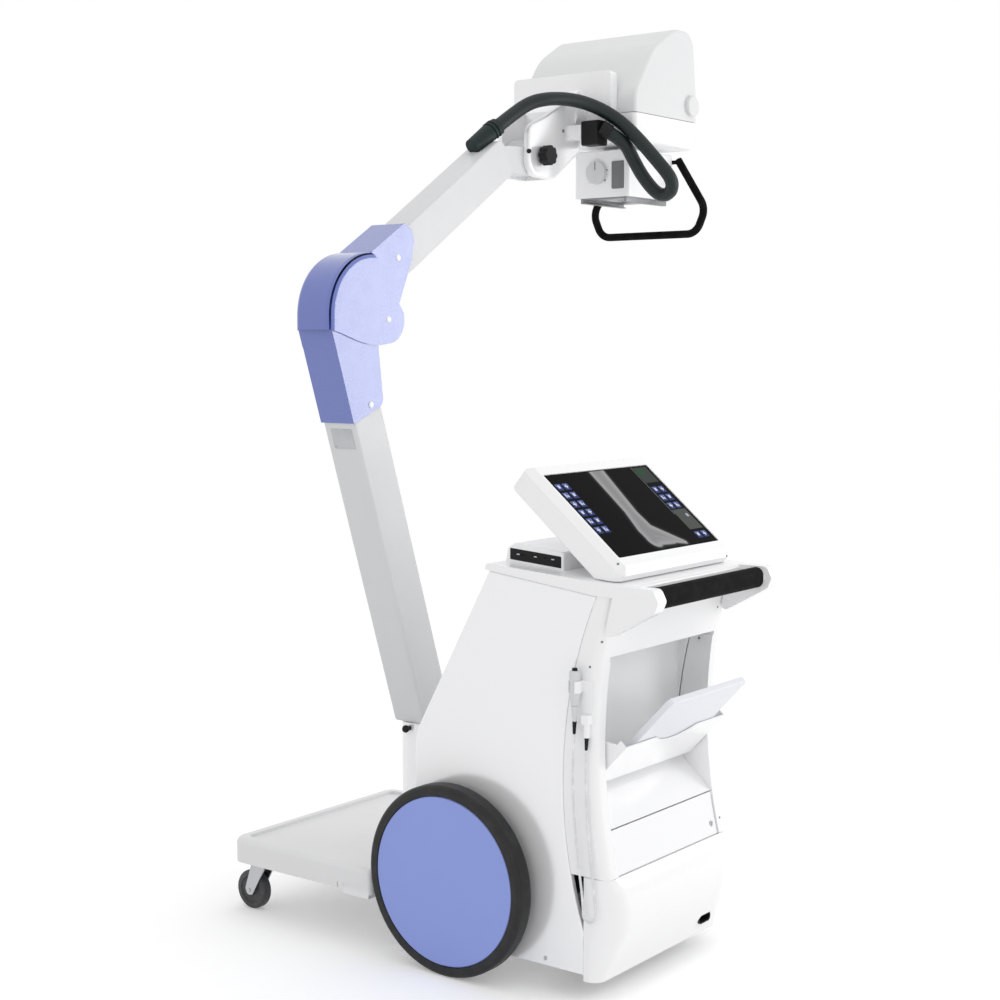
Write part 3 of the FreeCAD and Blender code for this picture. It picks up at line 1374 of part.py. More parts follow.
def head_handle():
    """Bent tube loop that hangs from lugs on the collimator's far side."""
    top = collimator_top() - 12
    half_top = 100.0
    half_low = 192.0
    points = [(collimator_x + half_top, loop_y, top), (collimator_x + half_low, loop_y, loop_bottom + 70),
              (collimator_x + half_low - 30, loop_y, loop_bottom), (collimator_x - half_low + 30, loop_y, loop_bottom),
              (collimator_x - half_low, loop_y, loop_bottom + 70), (collimator_x - half_top, loop_y, top)]
    path = fillet_path(points, [50, loop_corner, loop_corner, 50])
    profile = Part.Wire(Part.makeCircle(loop_radius, V(*points[0]), V(*points[1]) - V(*points[0])))
    tube = path.makePipeShell([profile], True, True)
    lugs = []
    for side in (NEAR, FAR):
        low_x, high_x = sorted((collimator_x + side * 70, collimator_x + side * (half_top + 4)))
        lugs.append(box(low_x, high_x, collimator_y + collimator_width / 2 + 0.05, loop_y + 2, top - 12, top - 2))
    return tube.fuse(lugs).removeSplitter()


def fillet_path(points, radii):
    """A path through points with an arc of the given radius at each inner one."""
    places = [V(*point) for point in points]
    edges = []
    start = places[0]
    for index in range(1, len(places) - 1):
        corner = places[index]
        back = (places[index - 1] - corner).normalize()
        ahead = (places[index + 1] - corner).normalize()
        half = back.getAngle(ahead) / 2
        radius = radii[index - 1]
        reach = radius / math.tan(half)
        middle_point = corner + (back + ahead).normalize() * (radius / math.sin(half) - radius)
        edges.append(Part.LineSegment(start, corner + back * reach).toShape())
        edges.append(Part.Arc(corner + back * reach, middle_point, corner + ahead * reach).toShape())
        start = corner + ahead * reach
    edges.append(Part.LineSegment(start, places[-1]).toShape())
    return Part.Wire(edges)


# Hand switch
switch_length = 78.0
switch_radius = 12.0
switch_top = 744.0
button_radius = 6.0


def hand_switch():
    """Tapered exposure switch with a bore for its button and a cord grip below."""
    axis = V(switch_x, switch_y, 0)
    low = switch_top - switch_length
    handle = revolve([(0, low, 0), (8, low, 3), (switch_radius, low + 26, 8), (switch_radius, switch_top, 3),
                      (0, switch_top, 0)], axis, 1)
    foot = CORD_ROUTE[0][2] + 0.4
    grip = Part.makeCone(4.5, 8, low - foot, axis + V(0, 0, foot), UP)
    bore = rod(button_radius + running_gap, axis + V(0, 0, switch_top - 16), axis + V(0, 0, switch_top + 1))
    return handle.fuse(grip).removeSplitter().cut(bore)


def switch_button():
    axis = V(switch_x, switch_y, 0)
    button = rod(button_radius, axis + V(0, 0, switch_top - 9), axis + V(0, 0, switch_top + 6))
    return soften(button, 1.5, lambda edge: middle(edge).z > switch_top + 5)


def switch_holder():
    """Clip on the near post that holds the hand switch, with the cord's socket beside it."""
    outside = -cart_width / 2 + 1
    low = switch_top - switch_length + 30
    inner = switch_radius + 0.3
    ring = rod(inner + 3, V(switch_x, switch_y, low), V(switch_x, switch_y, low + 26))
    end = V(*CORD_ROUTE[-1])
    plate = box(switch_x - 12, end.x + 9, outside - 1.7, outside, end.z + 30, low + 26)
    hole = rod(inner, V(switch_x, switch_y, low - 1), V(switch_x, switch_y, low + 40))
    mouth = box(switch_x - 8, switch_x + 8, switch_y - 30, switch_y, low - 1, low + 40)
    back = box(switch_x - 12, switch_x + 12, switch_y + inner - 1, outside, low, low + 26)
    plug = rod(7, end + V(0, 0, 0.4), end + V(0, 0, 34))
    socket = box(end.x - 9, end.x + 9, end.y - 9, outside, end.z + 30, end.z + 50)
    return ring.fuse([back, plate]).cut([hole, mouth]).fuse([plug, socket]).removeSplitter()


def hv_generator():
    """Sealed high-voltage generator tank that stands on the axle's bearing blocks."""
    seat = wheel_radius + bearing_rise
    tank = box(-108, 100, -232, 232, seat, seat + 190)
    lid = box(-114, 106, -236, 236, seat + 190, seat + 200)
    return tank.fuse(lid).removeSplitter()


def battery_pack():
    """Four sealed batteries in a row across the rails, behind the axle."""
    seat = platform_top - rim_height - platform_wall
    cells = [box(110 + 30 * step, 110 + 30 * step + 29, -230, 230, seat, seat + 62) for step in range(4)]
    strap = box(110, 229, -40, 40, seat + 62, seat + 66)
    return cells[0].fuse(cells[1:] + [strap]).removeSplitter()


def build():
    """Every piece of the machine by its name, in the drive axle's frame."""
    near_hub = mirrored(drive_hub())
    nodes = {
        "base_frame": base_frame(),
        "front_platform": front_platform(),
        "drive_axle": drive_axle(),
        "turret_post": turret_post(),
        "swivel_lock": swivel_lock(),
        "side_panel_near": side_panel(),
        "side_panel_far": mirrored(side_panel()),
        "front_cover": front_cover(),
        "rear_frame": rear_frame(),
        "rear_bumper": rear_bumper(),
        "recess_liner": recess_liner(),
        "power_inlet": power_inlet(),
        "console_top": console_top(),
        "handle_grip": handle_grip(),
        "connector_box": connector_box(),
        "connector_panel": connector_panel(),
        "monitor_bracket": monitor_bracket(),
        "hv_generator": hv_generator(),
        "battery_pack": battery_pack(),
        "switch_holder": switch_holder(),
        "switch_cord": switch_cord(),
        "caster_plate_near": caster_plate_piece(),
        "caster_plate_far": mirrored(caster_plate_piece()),
        "hub_near": near_hub,
        "hub_far": drive_hub(),
        "tyre_near": mirrored(drive_tyre()),
        "tyre_far": drive_tyre(),
        "disc_near": mirrored(drive_disc()),
        "disc_far": drive_disc(),
        "caster_fork_near": caster_fork_piece(),
        "caster_fork_far": mirrored(caster_fork_piece()),
        "caster_wheel_near": caster_wheel_piece(),
        "caster_wheel_far": mirrored(caster_wheel_piece()),
        "lower_door": lower_door(),
        "door_latch": door_latch(),
        "detector_bin": detector_bin(),
        "detector_panel": detector_panel(),
        "hand_switch": hand_switch(),
        "switch_button": switch_button(),
        "monitor_housing": monitor_housing(),
        "monitor_screen": monitor_screen(),
        "column": column(),
        "balance_spring": balance_spring(),
        "elbow_pin": elbow_pin(),
        "elbow_lower_cover": elbow_lower_cover(),
        "upper_arm": upper_arm(),
        "elbow_upper_cover": elbow_upper_cover(),
        "hose_boot": hose_boot(),
        "hv_hose": hv_hose(),
        "head_bracket": head_bracket(),
        "tilt_knob": tilt_knob(),
        "cable_block": cable_block(),
        "head_cover": head_cover(),
        "head_base": head_base(),
        "xray_tube": xray_tube(),
        "collimator_body": collimator_body(),
        "field_dial": field_dial(),
        "lamp_button": lamp_button(),
        "filter_rails": filter_rails(),
        "head_handle": head_handle(),
    }
    return nodes


def to_origin(nodes):
    """The shift that puts the origin under the middle of the whole machine."""
    bound = FreeCAD.BoundBox()
    for shape in nodes.values():
        bound.add(shape.optimalBoundingBox(False, False))
    return V(-bound.Center.x, -bound.Center.y, -bound.ZMin)


def main():
    nodes = build()
    shift = to_origin(nodes)
    os.makedirs("parts", exist_ok=True)
    for name, shape in nodes.items():
        shape.translate(shift)
        shape.exportStep("parts/" + name + ".step")
    return nodes, shift


if __name__ == "__main__":
    main()
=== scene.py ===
"""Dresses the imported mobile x-ray machine.

Finishes, hose, switch lead, small fittings, screen picture and studio.
"""

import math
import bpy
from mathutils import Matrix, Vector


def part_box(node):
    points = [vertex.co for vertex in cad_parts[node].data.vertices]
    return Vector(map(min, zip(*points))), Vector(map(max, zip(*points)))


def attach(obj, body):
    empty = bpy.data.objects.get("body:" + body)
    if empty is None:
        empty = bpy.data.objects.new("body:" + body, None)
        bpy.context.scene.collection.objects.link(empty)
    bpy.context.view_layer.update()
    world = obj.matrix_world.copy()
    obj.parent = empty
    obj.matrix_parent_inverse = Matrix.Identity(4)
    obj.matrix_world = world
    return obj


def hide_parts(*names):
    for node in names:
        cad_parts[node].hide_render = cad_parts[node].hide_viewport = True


bl_info = {
    "name": "Mobile X-ray Machine",
    "version": (1, 0, 0),
    "blender": (4, 5, 0),
    "location": "3D View > Sidebar > X-ray machine",
    "description": "Finishes and fittings for a mobile x-ray machine, and the studio it stands in",
    "category": "Object",
}

import bmesh
import bpy
from bpy.props import FloatProperty, FloatVectorProperty, IntProperty, PointerProperty
from mathutils import Matrix, Vector

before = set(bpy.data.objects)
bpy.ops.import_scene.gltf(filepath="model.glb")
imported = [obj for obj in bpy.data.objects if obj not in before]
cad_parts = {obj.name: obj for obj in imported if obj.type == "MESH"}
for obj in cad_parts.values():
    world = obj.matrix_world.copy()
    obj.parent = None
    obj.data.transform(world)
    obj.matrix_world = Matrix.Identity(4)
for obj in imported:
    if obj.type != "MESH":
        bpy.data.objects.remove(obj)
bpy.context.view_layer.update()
AXLE_LOW, AXLE_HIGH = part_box("drive_axle")
PICTURE_COLOUR = "picture_colour"
FOOT_DEPTH = 0.0002


def at(x, y, z):
    """A place in metres from the floor under the middle of the drive axle."""
    middle = (AXLE_LOW + AXLE_HIGH) / 2
    return Vector((middle.x + x, middle.y + y, z))


def between(low, high, share):
    return low + (high - low) * share


# Routes of the hose and the lead, as in the part's source

HOSE_ROUTE = (
    (-0.318, 0.2911, 2.0087),
    (-0.308, 0.3466, 2.0468),
    (-0.288, 0.3941, 2.0798),
    (-0.266, 0.4396, 2.093),
    (-0.250, 0.499, 2.0982),
    (-0.232, 0.5569, 2.0942),
    (-0.206, 0.6044, 2.0786),
    (-0.168, 0.633, 2.0494),
    (-0.122, 0.6485, 2.0052),
    (-0.058, 0.655, 1.936),
    (-0.027, 0.6783, 1.8895),
    (-0.0345, 0.6945, 1.8618),
    (-0.0613, 0.7051, 1.8476),
    (-0.0917, 0.7039, 1.8551),
    (-0.121, 0.681, 1.900),
    (-0.143, 0.664, 1.950),
    (-0.153, 0.642, 1.990),
    (-0.182, 0.612, 2.014),
)

LEAD_ROUTE = (
    (0.331, -0.276, 0.632),
    (0.330, -0.276, 0.600),
    (0.327, -0.275, 0.556),
    (0.325, -0.274, 0.508),
    (0.326, -0.273, 0.458),
    (0.329, -0.272, 0.408),
    (0.334, -0.271, 0.356),
    (0.340, -0.270, 0.304),
    (0.347, -0.269, 0.254),
    (0.350, -0.2685, 0.220),
    (0.350, -0.2685, 0.198),
    (0.360, -0.2685, 0.188),
    (0.374, -0.2685, 0.188),
    (0.384, -0.2685, 0.198),
    (0.383, -0.268, 0.222),
    (0.377, -0.2675, 0.264),
    (0.370, -0.267, 0.312),
    (0.364, -0.2665, 0.362),
    (0.359, -0.2665, 0.412),
    (0.356, -0.2665, 0.462),
    (0.355, -0.267, 0.512),
    (0.356, -0.268, 0.558),
    (0.358, -0.2685, 0.598),
)


# Sizes and colours


def colour(name, description, default):
    return FloatVectorProperty(name=name, description=description, default=default, subtype="COLOR",
                               size=3, min=0.0, max=1.0)


def length(name, description, default):
    return FloatProperty(name=name, description=description, default=default, unit="LENGTH", min=0.0,
                         precision=4)


def power(name, description, default):
    return FloatProperty(name=name, description=description, default=default, unit="POWER", min=0.0)


class XrayFinishes(bpy.types.PropertyGroup):
    """Colours of the machine's finishes."""

    white_paint: colour("White paint", "Powder coat on panels, door and bracket", (0.86, 0.862, 0.87))
    # Painted shade: a darker copy of the white paint, so that the column and arm look shaded
    arm_paint: colour("Arm paint", "Powder coat on the column and arm", (0.71, 0.715, 0.725))
    white_moulding: colour("White moulding", "Moulded console, rear frame and monitor", (0.88, 0.882, 0.885))
    # Painted shade: a darker copy of the white moulding, for the grey shade on top of the head cover
    head_moulding: colour("Head moulding", "Moulded cover of the tube head", (0.77, 0.775, 0.78))
    # Painted shade: a darker copy of the white moulding, for the machine's shade on the platform's top
    tray_moulding: colour("Tray moulding", "Front platform", (0.80, 0.80, 0.805))
    cover_blue: colour("Cover blue", "Elbow covers", (0.11, 0.155, 0.50))
    disc_blue: colour("Disc blue", "Discs over the drive wheels", (0.285, 0.36, 0.775))
    tyre_black: colour("Tyre black", "Solid drive tyres", (0.012, 0.012, 0.013))
    caster_grey: colour("Caster grey", "Treads of the front casters", (0.05, 0.05, 0.053))
    fitting_black: colour("Fitting black", "Knobs, inlet, ports and plates", (0.012, 0.012, 0.013))
    grip_black: colour("Grip black", "Handle sleeve and head loop", (0.006, 0.006, 0.006))
    hose_green: colour("Hose green", "Jacket of the high-voltage hose", (0.006, 0.014, 0.0145))
    lead_white: colour("Lead white", "Jacket of the switch lead", (0.74, 0.74, 0.75))
    detector_grey: colour("Detector grey", "Case of the flat detector", (0.62, 0.64, 0.69))
    dial_grey: colour("Dial grey", "Field dial and hand switch", (0.70, 0.71, 0.72))
    button_grey: colour("Button grey", "Lamp rocker, small fasteners, dial marks", (0.20, 0.205, 0.21))
    plate_silver: colour("Plate silver", "Bare plate on the column", (0.50, 0.51, 0.53))
    steel: colour("Steel", "Axle, pins, forks and screws", (0.52, 0.53, 0.55))
    tank_grey: colour("Tank grey", "Inner tank, tube unit and spring", (0.20, 0.21, 0.23))
    glass_black: colour("Glass black", "Cover glass of the screen", (0.004, 0.004, 0.005))


class XrayFittings(bpy.types.PropertyGroup):
    """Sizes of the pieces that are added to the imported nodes."""

    edge: length("Edge", "Radius that softens the sharp edges of the hard nodes", 0.0009)
    hose: length("Hose", "Diameter of the high-voltage hose", 0.036)
    lead: length("Lead", "Diameter of the switch lead", 0.0055)
    cap: length("Cover cap", "Radius of the caps over the cover screws", 0.0085)
    screw: length("Screw", "Radius of the socket screws' heads", 0.0045)
    plate_wide: length("Plate width", "Width of the bare plate on the column", 0.066)
    plate_high: length("Plate height", "Height of the bare plate on the column", 0.050)
    dot: length("Dot", "Radius of the small dark fasteners on the panels", 0.0028)
    tick: length("Tick", "Length of one mark round the field dial", 0.0042)
    icon: length("Icon", "Side of one icon on the screen", 0.021)
    ticks: IntProperty(name="Ticks", description="Marks round the field dial", default=24, min=4)


class XrayStudio(bpy.types.PropertyGroup):
    """Light and camera."""

    fill: FloatProperty(name="Fill", description="Strength of the even light from all round", default=0.84,
                        min=0.0)
    key: power("Key", "Power of the upright softbox behind on the right", 25.0)
    top: power("Top", "Power of the overhead softbox", 10.0)
    rear: power("Rear", "Power of the low softbox at the operator's side", 2.5)
    lens: FloatProperty(name="Lens", description="Focal length on a 36 mm sensor", default=61.94, min=1.0,
                        unit="CAMERA")


def finishes():
    return bpy.context.scene.xray_finishes


def fittings():
    return bpy.context.scene.xray_fittings


# Finishes


def new_finish(name, tint, roughness, gloss=0.5):
    """A material with its shader set up, and a short way to add nodes to it."""
    material = bpy.data.materials.new(name)
    material.use_nodes = True
    tree = material.node_tree
    shader = tree.nodes["Principled BSDF"]
    shader.inputs["Base Color"].default_value = (*tint, 1)
    shader.inputs["Roughness"].default_value = roughness
    shader.inputs["Specular IOR Level"].default_value = gloss
    material.diffuse_color = (*tint, 1)
    return material, tree, shader


def place_texture(tree, centre=None):
    """Texture coordinates in metres, measured from a point where one is given."""
    coordinates = tree.nodes.new("ShaderNodeTexCoord")
    if centre is None:
        return coordinates.outputs["Object"]
    mapping = tree.nodes.new("ShaderNodeMapping")
    mapping.inputs["Location"].default_value = [-value for value in centre]
    tree.links.new(coordinates.outputs["Object"], mapping.inputs["Vector"])
    return mapping.outputs["Vector"]


def add_noise(tree, vector, per_metre, detail=3.0, rough=0.5):
    noise = tree.nodes.new("ShaderNodeTexNoise")
    noise.inputs["Scale"].default_value = per_metre
    noise.inputs["Detail"].default_value = detail
    noise.inputs["Roughness"].default_value = rough
    tree.links.new(vector, noise.inputs["Vector"])
    return noise.outputs["Fac"]


def add_range(tree, value, low, high, from_low=0.3, from_high=0.7):
    remap = tree.nodes.new("ShaderNodeMapRange")
    remap.inputs["From Min"].default_value = from_low
    remap.inputs["From Max"].default_value = from_high
    remap.inputs["To Min"].default_value = low
    remap.inputs["To Max"].default_value = high
    tree.links.new(value, remap.inputs["Value"])
    return remap.outputs["Result"]


def add_math(tree, operation, first, second=None):
    node = tree.nodes.new("ShaderNodeMath")
    node.operation = operation
    tree.links.new(first, node.inputs[0])
    if second is not None:
        tree.links.new(second, node.inputs[1])
    return node.outputs["Value"]


def add_mapping(tree, vector, scale):
    """The coordinates stretched by one factor for each axis."""
    mapping = tree.nodes.new("ShaderNodeMapping")
    mapping.inputs["Scale"].default_value = scale
    tree.links.new(vector, mapping.inputs["Vector"])
    return mapping.outputs["Vector"]


def add_split(tree, vector):
    split = tree.nodes.new("ShaderNodeSeparateXYZ")
    tree.links.new(vector, split.inputs["Vector"])
    return split.outputs


def add_bump(tree, shader, height, strength, distance):
    """Puts a height pattern on the surface, on top of any that is there."""
    bump = tree.nodes.new("ShaderNodeBump")
    bump.inputs["Strength"].default_value = strength
    bump.inputs["Distance"].default_value = distance
    tree.links.new(height, bump.inputs["Height"])
    normal = shader.inputs["Normal"]
    if normal.is_linked:
        tree.links.new(normal.links[0].from_socket, bump.inputs["Normal"])
    tree.links.new(bump.outputs["Normal"], normal)


def mix_tint(tree, share, first, second):
    """A colour between two tints, or between a socket and a tint."""
    mix = tree.nodes.new("ShaderNodeMix")
    mix.data_type = "RGBA"
    tree.links.new(share, mix.inputs["Factor"])
    for socket, value in ((mix.inputs["A"], first), (mix.inputs["B"], second)):
        if isinstance(value, bpy.types.NodeSocket):
            tree.links.new(value, socket)
        else:
            socket.default_value = (*value, 1)
    return mix.outputs["Result"]


def darker(tint, share):
    return tuple(channel * share for channel in tint)


def vary(tree, shader, vector, tint, roughness, spread=0.03, per_metre=5.0):
    """Slow, slight changes of tint and gloss, as on any handled surface."""
    patches = add_noise(tree, vector, per_metre, 4.0, 0.6)
    share = add_range(tree, patches, 0.0, 1.0)
    tree.links.new(mix_tint(tree, share, darker(tint, 1 - spread), tint), shader.inputs["Base Color"])
    smears = add_noise(tree, vector, per_metre * 6, 5.0, 0.65)
    tree.links.new(add_range(tree, smears, roughness * 0.85, roughness * 1.15), shader.inputs["Roughness"])


def scuffs(tree, shader, vector, top, wear):
    """Dull rub marks that show more towards the floor."""
    stretched = add_mapping(tree, vector, (1.0, 1.0, 5.0))
    marks = add_range(tree, add_noise(tree, stretched, 16.0, 8.0, 0.7), 0.0, 1.0, 0.6, 0.78)
    height = add_range(tree, add_split(tree, vector)["Z"], 1.0, 0.0, 0.0, top)
    share = add_math(tree, "MULTIPLY", marks, height)
    base = shader.inputs["Base Color"]
    worn = mix_tint(tree, share, base.links[0].from_socket, wear)
    tree.links.new(worn, base)


def powder_coat(name, tint, roughness=0.34, worn_below=0.0):
    """Sprayed and baked paint: a fine orange peel and a soft gloss."""
    material, tree, shader = new_finish(name, tint, roughness, 0.32)
    vector = place_texture(tree)
    vary(tree, shader, vector, tint, roughness, 0.02, 3.5)
    if worn_below:
        scuffs(tree, shader, vector, worn_below, darker(tint, 0.72))
    add_bump(tree, shader, add_noise(tree, vector, 520.0, 2.0, 0.4), 0.10, 0.0004)
    add_bump(tree, shader, add_noise(tree, vector, 14.0, 2.0, 0.4), 0.05, 0.004)
    return material


def moulded(name, tint, roughness=0.36, gloss=0.3, grain=1400.0, worn_below=0.0):
    """Moulded plastic with the fine spark grain of its tool."""
    material, tree, shader = new_finish(name, tint, roughness, gloss)
    vector = place_texture(tree)
    vary(tree, shader, vector, tint, roughness, 0.025, 4.0)
    if worn_below:
        scuffs(tree, shader, vector, worn_below, darker(tint, 0.7))
    cells = tree.nodes.new("ShaderNodeTexVoronoi")
    cells.inputs["Scale"].default_value = grain
    tree.links.new(vector, cells.inputs["Vector"])
    add_bump(tree, shader, cells.outputs["Distance"], 0.10, 0.0002)
    add_bump(tree, shader, add_noise(tree, vector, 9.0, 2.0, 0.4), 0.06, 0.005)
    return material


def glossy_cover(name, tint):
    """Polished coloured cover with a clear lacquer."""
    material = moulded(name, tint, 0.27, 0.6, 1800.0)
    shader = material.node_tree.nodes["Principled BSDF"]
    shader.inputs["Coat Weight"].default_value = 1.0
    shader.inputs["Coat Roughness"].default_value = 0.16
    return material


def rubber(name, tint, roughness=0.62, gloss=0.25, grain=900.0):
    """Dull rubber with a chalky bloom."""
    material, tree, shader = new_finish(name, tint, roughness, gloss)
    vector = place_texture(tree)
    bloom = add_range(tree, add_noise(tree, vector, 30.0, 6.0, 0.7), 0.0, 1.0, 0.45, 0.75)
    pale = tuple(min(1.0, channel * 2.0 + 0.002) for channel in tint)
    tree.links.new(mix_tint(tree, bloom, tint, pale), shader.inputs["Base Color"])
    add_bump(tree, shader, add_noise(tree, vector, grain, 4.0, 0.6), 0.25, 0.0004)
    return material


def turned_rubber(name, tint, node):
    """Rubber of a wheel, with the fine rings its mould leaves on the side wall."""
    low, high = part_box(node)
    material = rubber(name, tint, 0.5, 0.35)
    tree = material.node_tree
    shader = tree.nodes["Principled BSDF"]
    rings = tree.nodes.new("ShaderNodeTexWave")
    rings.wave_type = "RINGS"
    rings.rings_direction = "Y"
    rings.inputs["Scale"].default_value = 48.0
    tree.links.new(place_texture(tree, (low + high) / 2), rings.inputs["Vector"])
    add_bump(tree, shader, rings.outputs["Fac"], 0.25, 0.0006)
    return material


def brushed_steel(name, tint, roughness=0.32):
    """Metal with grinding lines along X."""
    material, tree, shader = new_finish(name, tint, roughness)
    shader.inputs["Metallic"].default_value = 1.0
    vector = place_texture(tree)
    vary(tree, shader, vector, tint, roughness, 0.12, 22.0)
    lines = add_mapping(tree, vector, (4.0, 900.0, 900.0))
    add_bump(tree, shader, add_noise(tree, lines, 1.0, 2.0, 0.5), 0.12, 0.0002)
    return material


def braided(name, tint, turns_along, turns_round, roughness=0.48):
    """Jacket with two sets of slanted threads, laid along the curve's own length."""
    material, tree, shader = new_finish(name, tint, roughness, 0.4)
    coordinates = tree.nodes.new("ShaderNodeTexCoord")
    turns = add_split(tree, add_mapping(tree, coordinates.outputs["UV"], (turns_along, turns_round, 1.0)))
    waves = []
    for slant in ("ADD", "SUBTRACT"):
        slanted = add_math(tree, slant, turns["X"], turns["Y"])
        waves.append(add_math(tree, "SINE", slanted))
    threads = add_math(tree, "MAXIMUM", *waves)
    share = add_range(tree, threads, 0.0, 1.0, -0.2, 1.0)
    tree.links.new(mix_tint(tree, share, darker(tint, 0.55), tint), shader.inputs["Base Color"])
    add_bump(tree, shader, threads, 0.35, 0.0006)
    return material


def screen_glass(name, tint):
    """Dark cover glass with faint wipe marks."""
    material, tree, shader = new_finish(name, tint, 0.2, 0.03)
    vector = place_texture(tree)
    smears = add_noise(tree, vector, 12.0, 6.0, 0.7)
    tree.links.new(add_range(tree, smears, 0.15, 0.3), shader.inputs["Roughness"])
    return material


def lit_picture(name):
    """Screen picture that shines with the colours painted on its mesh."""
    material, tree, shader = new_finish(name, (0.0, 0.0, 0.0), 0.35, 0.02)
    painted = tree.nodes.new("ShaderNodeAttribute")
    painted.attribute_name = PICTURE_COLOUR
    tree.links.new(painted.outputs["Color"], shader.inputs["Emission Color"])
    shader.inputs["Emission Strength"].default_value = 0.9
    return material


def finish(name, recipe, *values, **named):
    """The material of that name, made by its recipe the first time."""
    return bpy.data.materials.get(name) or recipe(name, *values, **named)


def white_paint():
    return finish("white_paint", powder_coat, finishes().white_paint, worn_below=0.35)


def white_moulding():
    return finish("white_moulding", moulded, finishes().white_moulding, worn_below=0.16)


# Painted shade: the column and arm take this darker copy of the white powder coat
def arm_paint():
    return finish("arm_paint", powder_coat, finishes().arm_paint)


# Painted shade: the head cover takes this darker copy of the white moulding
def head_moulding():
    return finish("head_moulding", moulded, finishes().head_moulding)


# Painted shade: the front platform takes this darker copy of the white moulding, for the machine's shade on
# its top
def tray_moulding():
    return finish("tray_moulding", moulded, finishes().tray_moulding, worn_below=0.16)


def fitting_black():
    return finish("fitting_black", moulded, finishes().fitting_black, 0.5, 0.2, 900.0)


def mark_grey():
    return finish("mark_grey", moulded, finishes().button_grey, 0.45, 0.3, 1400.0)


def dial_grey():
    return finish("dial_grey", moulded, finishes().dial_grey, 0.4, 0.35, 1500.0)


def fine_steel():
    return finish("fine_steel", brushed_steel, finishes().steel)


# Shared ways to dress and to build


def dress(node, material, softened=True):
    """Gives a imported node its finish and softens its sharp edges."""
    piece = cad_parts[node]
    piece.data.materials.clear()
    piece.data.materials.append(material)
    if softened:
        soften_edges(piece, fittings().edge)


def soften_edges(piece, radius):
    """Rounds the edges sharper than a facet of a curved surface, and keeps the large faces flat."""
    weld = piece.modifiers.new("weld", "WELD")
    weld.merge_threshold = 0.00002
    bevel = piece.modifiers.new("edges", "BEVEL")
    bevel.width = radius
    bevel.segments = 2
    bevel.limit_method = "ANGLE"
    bevel.angle_limit = math.radians(32)
    piece.data.shade_smooth()
    flats = piece.modifiers.new("flats", "WEIGHTED_NORMAL")
    flats.mode = "FACE_AREA"
    flats.weight = 90


def add_piece(name, data, material, body):
    """Puts new geometry into the scene as a piece that rides on a body."""
    data.materials.append(material)
    piece = bpy.data.objects.new(name, data)
    bpy.context.scene.collection.objects.link(piece)
    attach(piece, body)
    return piece


def mesh_object(name, work, material, body):
    """Turns a bmesh into a smooth piece on a body."""
    data = bpy.data.meshes.new(name)
    work.to_mesh(data)
    work.free()
    data.shade_smooth()
    add_piece(name, data, material, body)


def facing(point, normal, up=(0.0, 0.0, 1.0)):
    """Matrix that puts Z along a surface's normal and Y as near to up as it can be."""
    out = Vector(normal).normalized()
    side = Vector(up).cross(out).normalized()
    turn = Matrix((side, out.cross(side), out)).transposed().to_4x4()
    return Matrix.Translation(point) @ turn


def turn_profile(work, profile, matrix, steps=32):
    """Adds a turned shape: profile holds pairs of radius and height, from the foot upwards."""
    rings = []
    for radius, height in profile:
        corners = steps if radius else 1
        ring = []
        for step in range(corners):
            angle = 2 * math.pi * step / steps
            corner = Vector((radius * math.cos(angle), radius * math.sin(angle), height))
            ring.append(work.verts.new(matrix @ corner))
        rings.append(ring)
    for lower, upper in zip(rings, rings[1:]):
        for step in range(steps):
            after = (step + 1) % steps
            if len(upper) == 1:
                work.faces.new((lower[step], lower[after], upper[0]))
            else:
                work.faces.new((lower[step], lower[after], upper[after], upper[step]))


def rounded_outline(wide, high, corner, steps=5):
    """Corner points of a rectangle with rounded corners, in the plane of X and Y."""
    points = []
    for quarter, (sign_x, sign_y) in enumerate(((1, 1), (-1, 1), (-1, -1), (1, -1))):
        for step in range(steps + 1):
            angle = math.pi / 2 * (quarter + step / steps)
            points.append((sign_x * (wide / 2 - corner) + corner * math.cos(angle),
                           sign_y * (high / 2 - corner) + corner * math.sin(angle)))
    return points


def raise_plate(work, outline, matrix, thickness, edge):
    """Adds a plate that stands on a surface, with a softened rim."""
    inner = 1 - edge / max(x for x, _ in outline)
    layers = ((1.0, 0.0), (1.0, thickness - edge), (inner, thickness))
    rings = []
    for share, height in layers:
        rings.append([work.verts.new(matrix @ Vector((x * share, y * share, height))) for x, y in outline])
    for lower, upper in zip(rings, rings[1:]):
        for index in range(len(outline)):
            after = (index + 1) % len(outline)
            work.faces.new((lower[index], lower[after], upper[after], upper[index]))
    work.faces.new(rings[-1])


def socket_screw(work, point, normal, radius):
    """Adds a screw head with a rounded rim and a dished socket."""
    high = radius * 0.55
    profile = [(radius, 0.0), (radius, high * 0.7), (radius * 0.86, high), (radius * 0.55, high),
               (radius * 0.48, high * 0.35), (0.0, high * 0.3)]
    turn_profile(work, profile, facing(point, normal), 24)


def domed_cap(work, point, normal, radius, high):
    """Adds a plain round cap that is highest in the middle."""
    profile = [(radius, 0.0), (radius * 0.98, high * 0.35), (radius * 0.8, high * 0.78),
               (radius * 0.45, high * 0.97), (0.0, high)]
    turn_profile(work, profile, facing(point, normal), 28)


def smooth_curve(name, route, diameter, material, body):
    """A round cord on one smooth spline whose control points are the route."""
    data = bpy.data.curves.new(name, "CURVE")
    data.dimensions = "3D"
    data.bevel_depth = diameter / 2
    data.bevel_resolution = 5
    data.resolution_u = 10
    data.use_fill_caps = True
    spline = data.splines.new("NURBS")
    spline.points.add(len(route) - 1)
    for point, place in zip(spline.points, route):
        point.co = (*at(*place), 1)
    spline.order_u = 3
    spline.use_endpoint_u = True
    return add_piece(name, data, material, body)


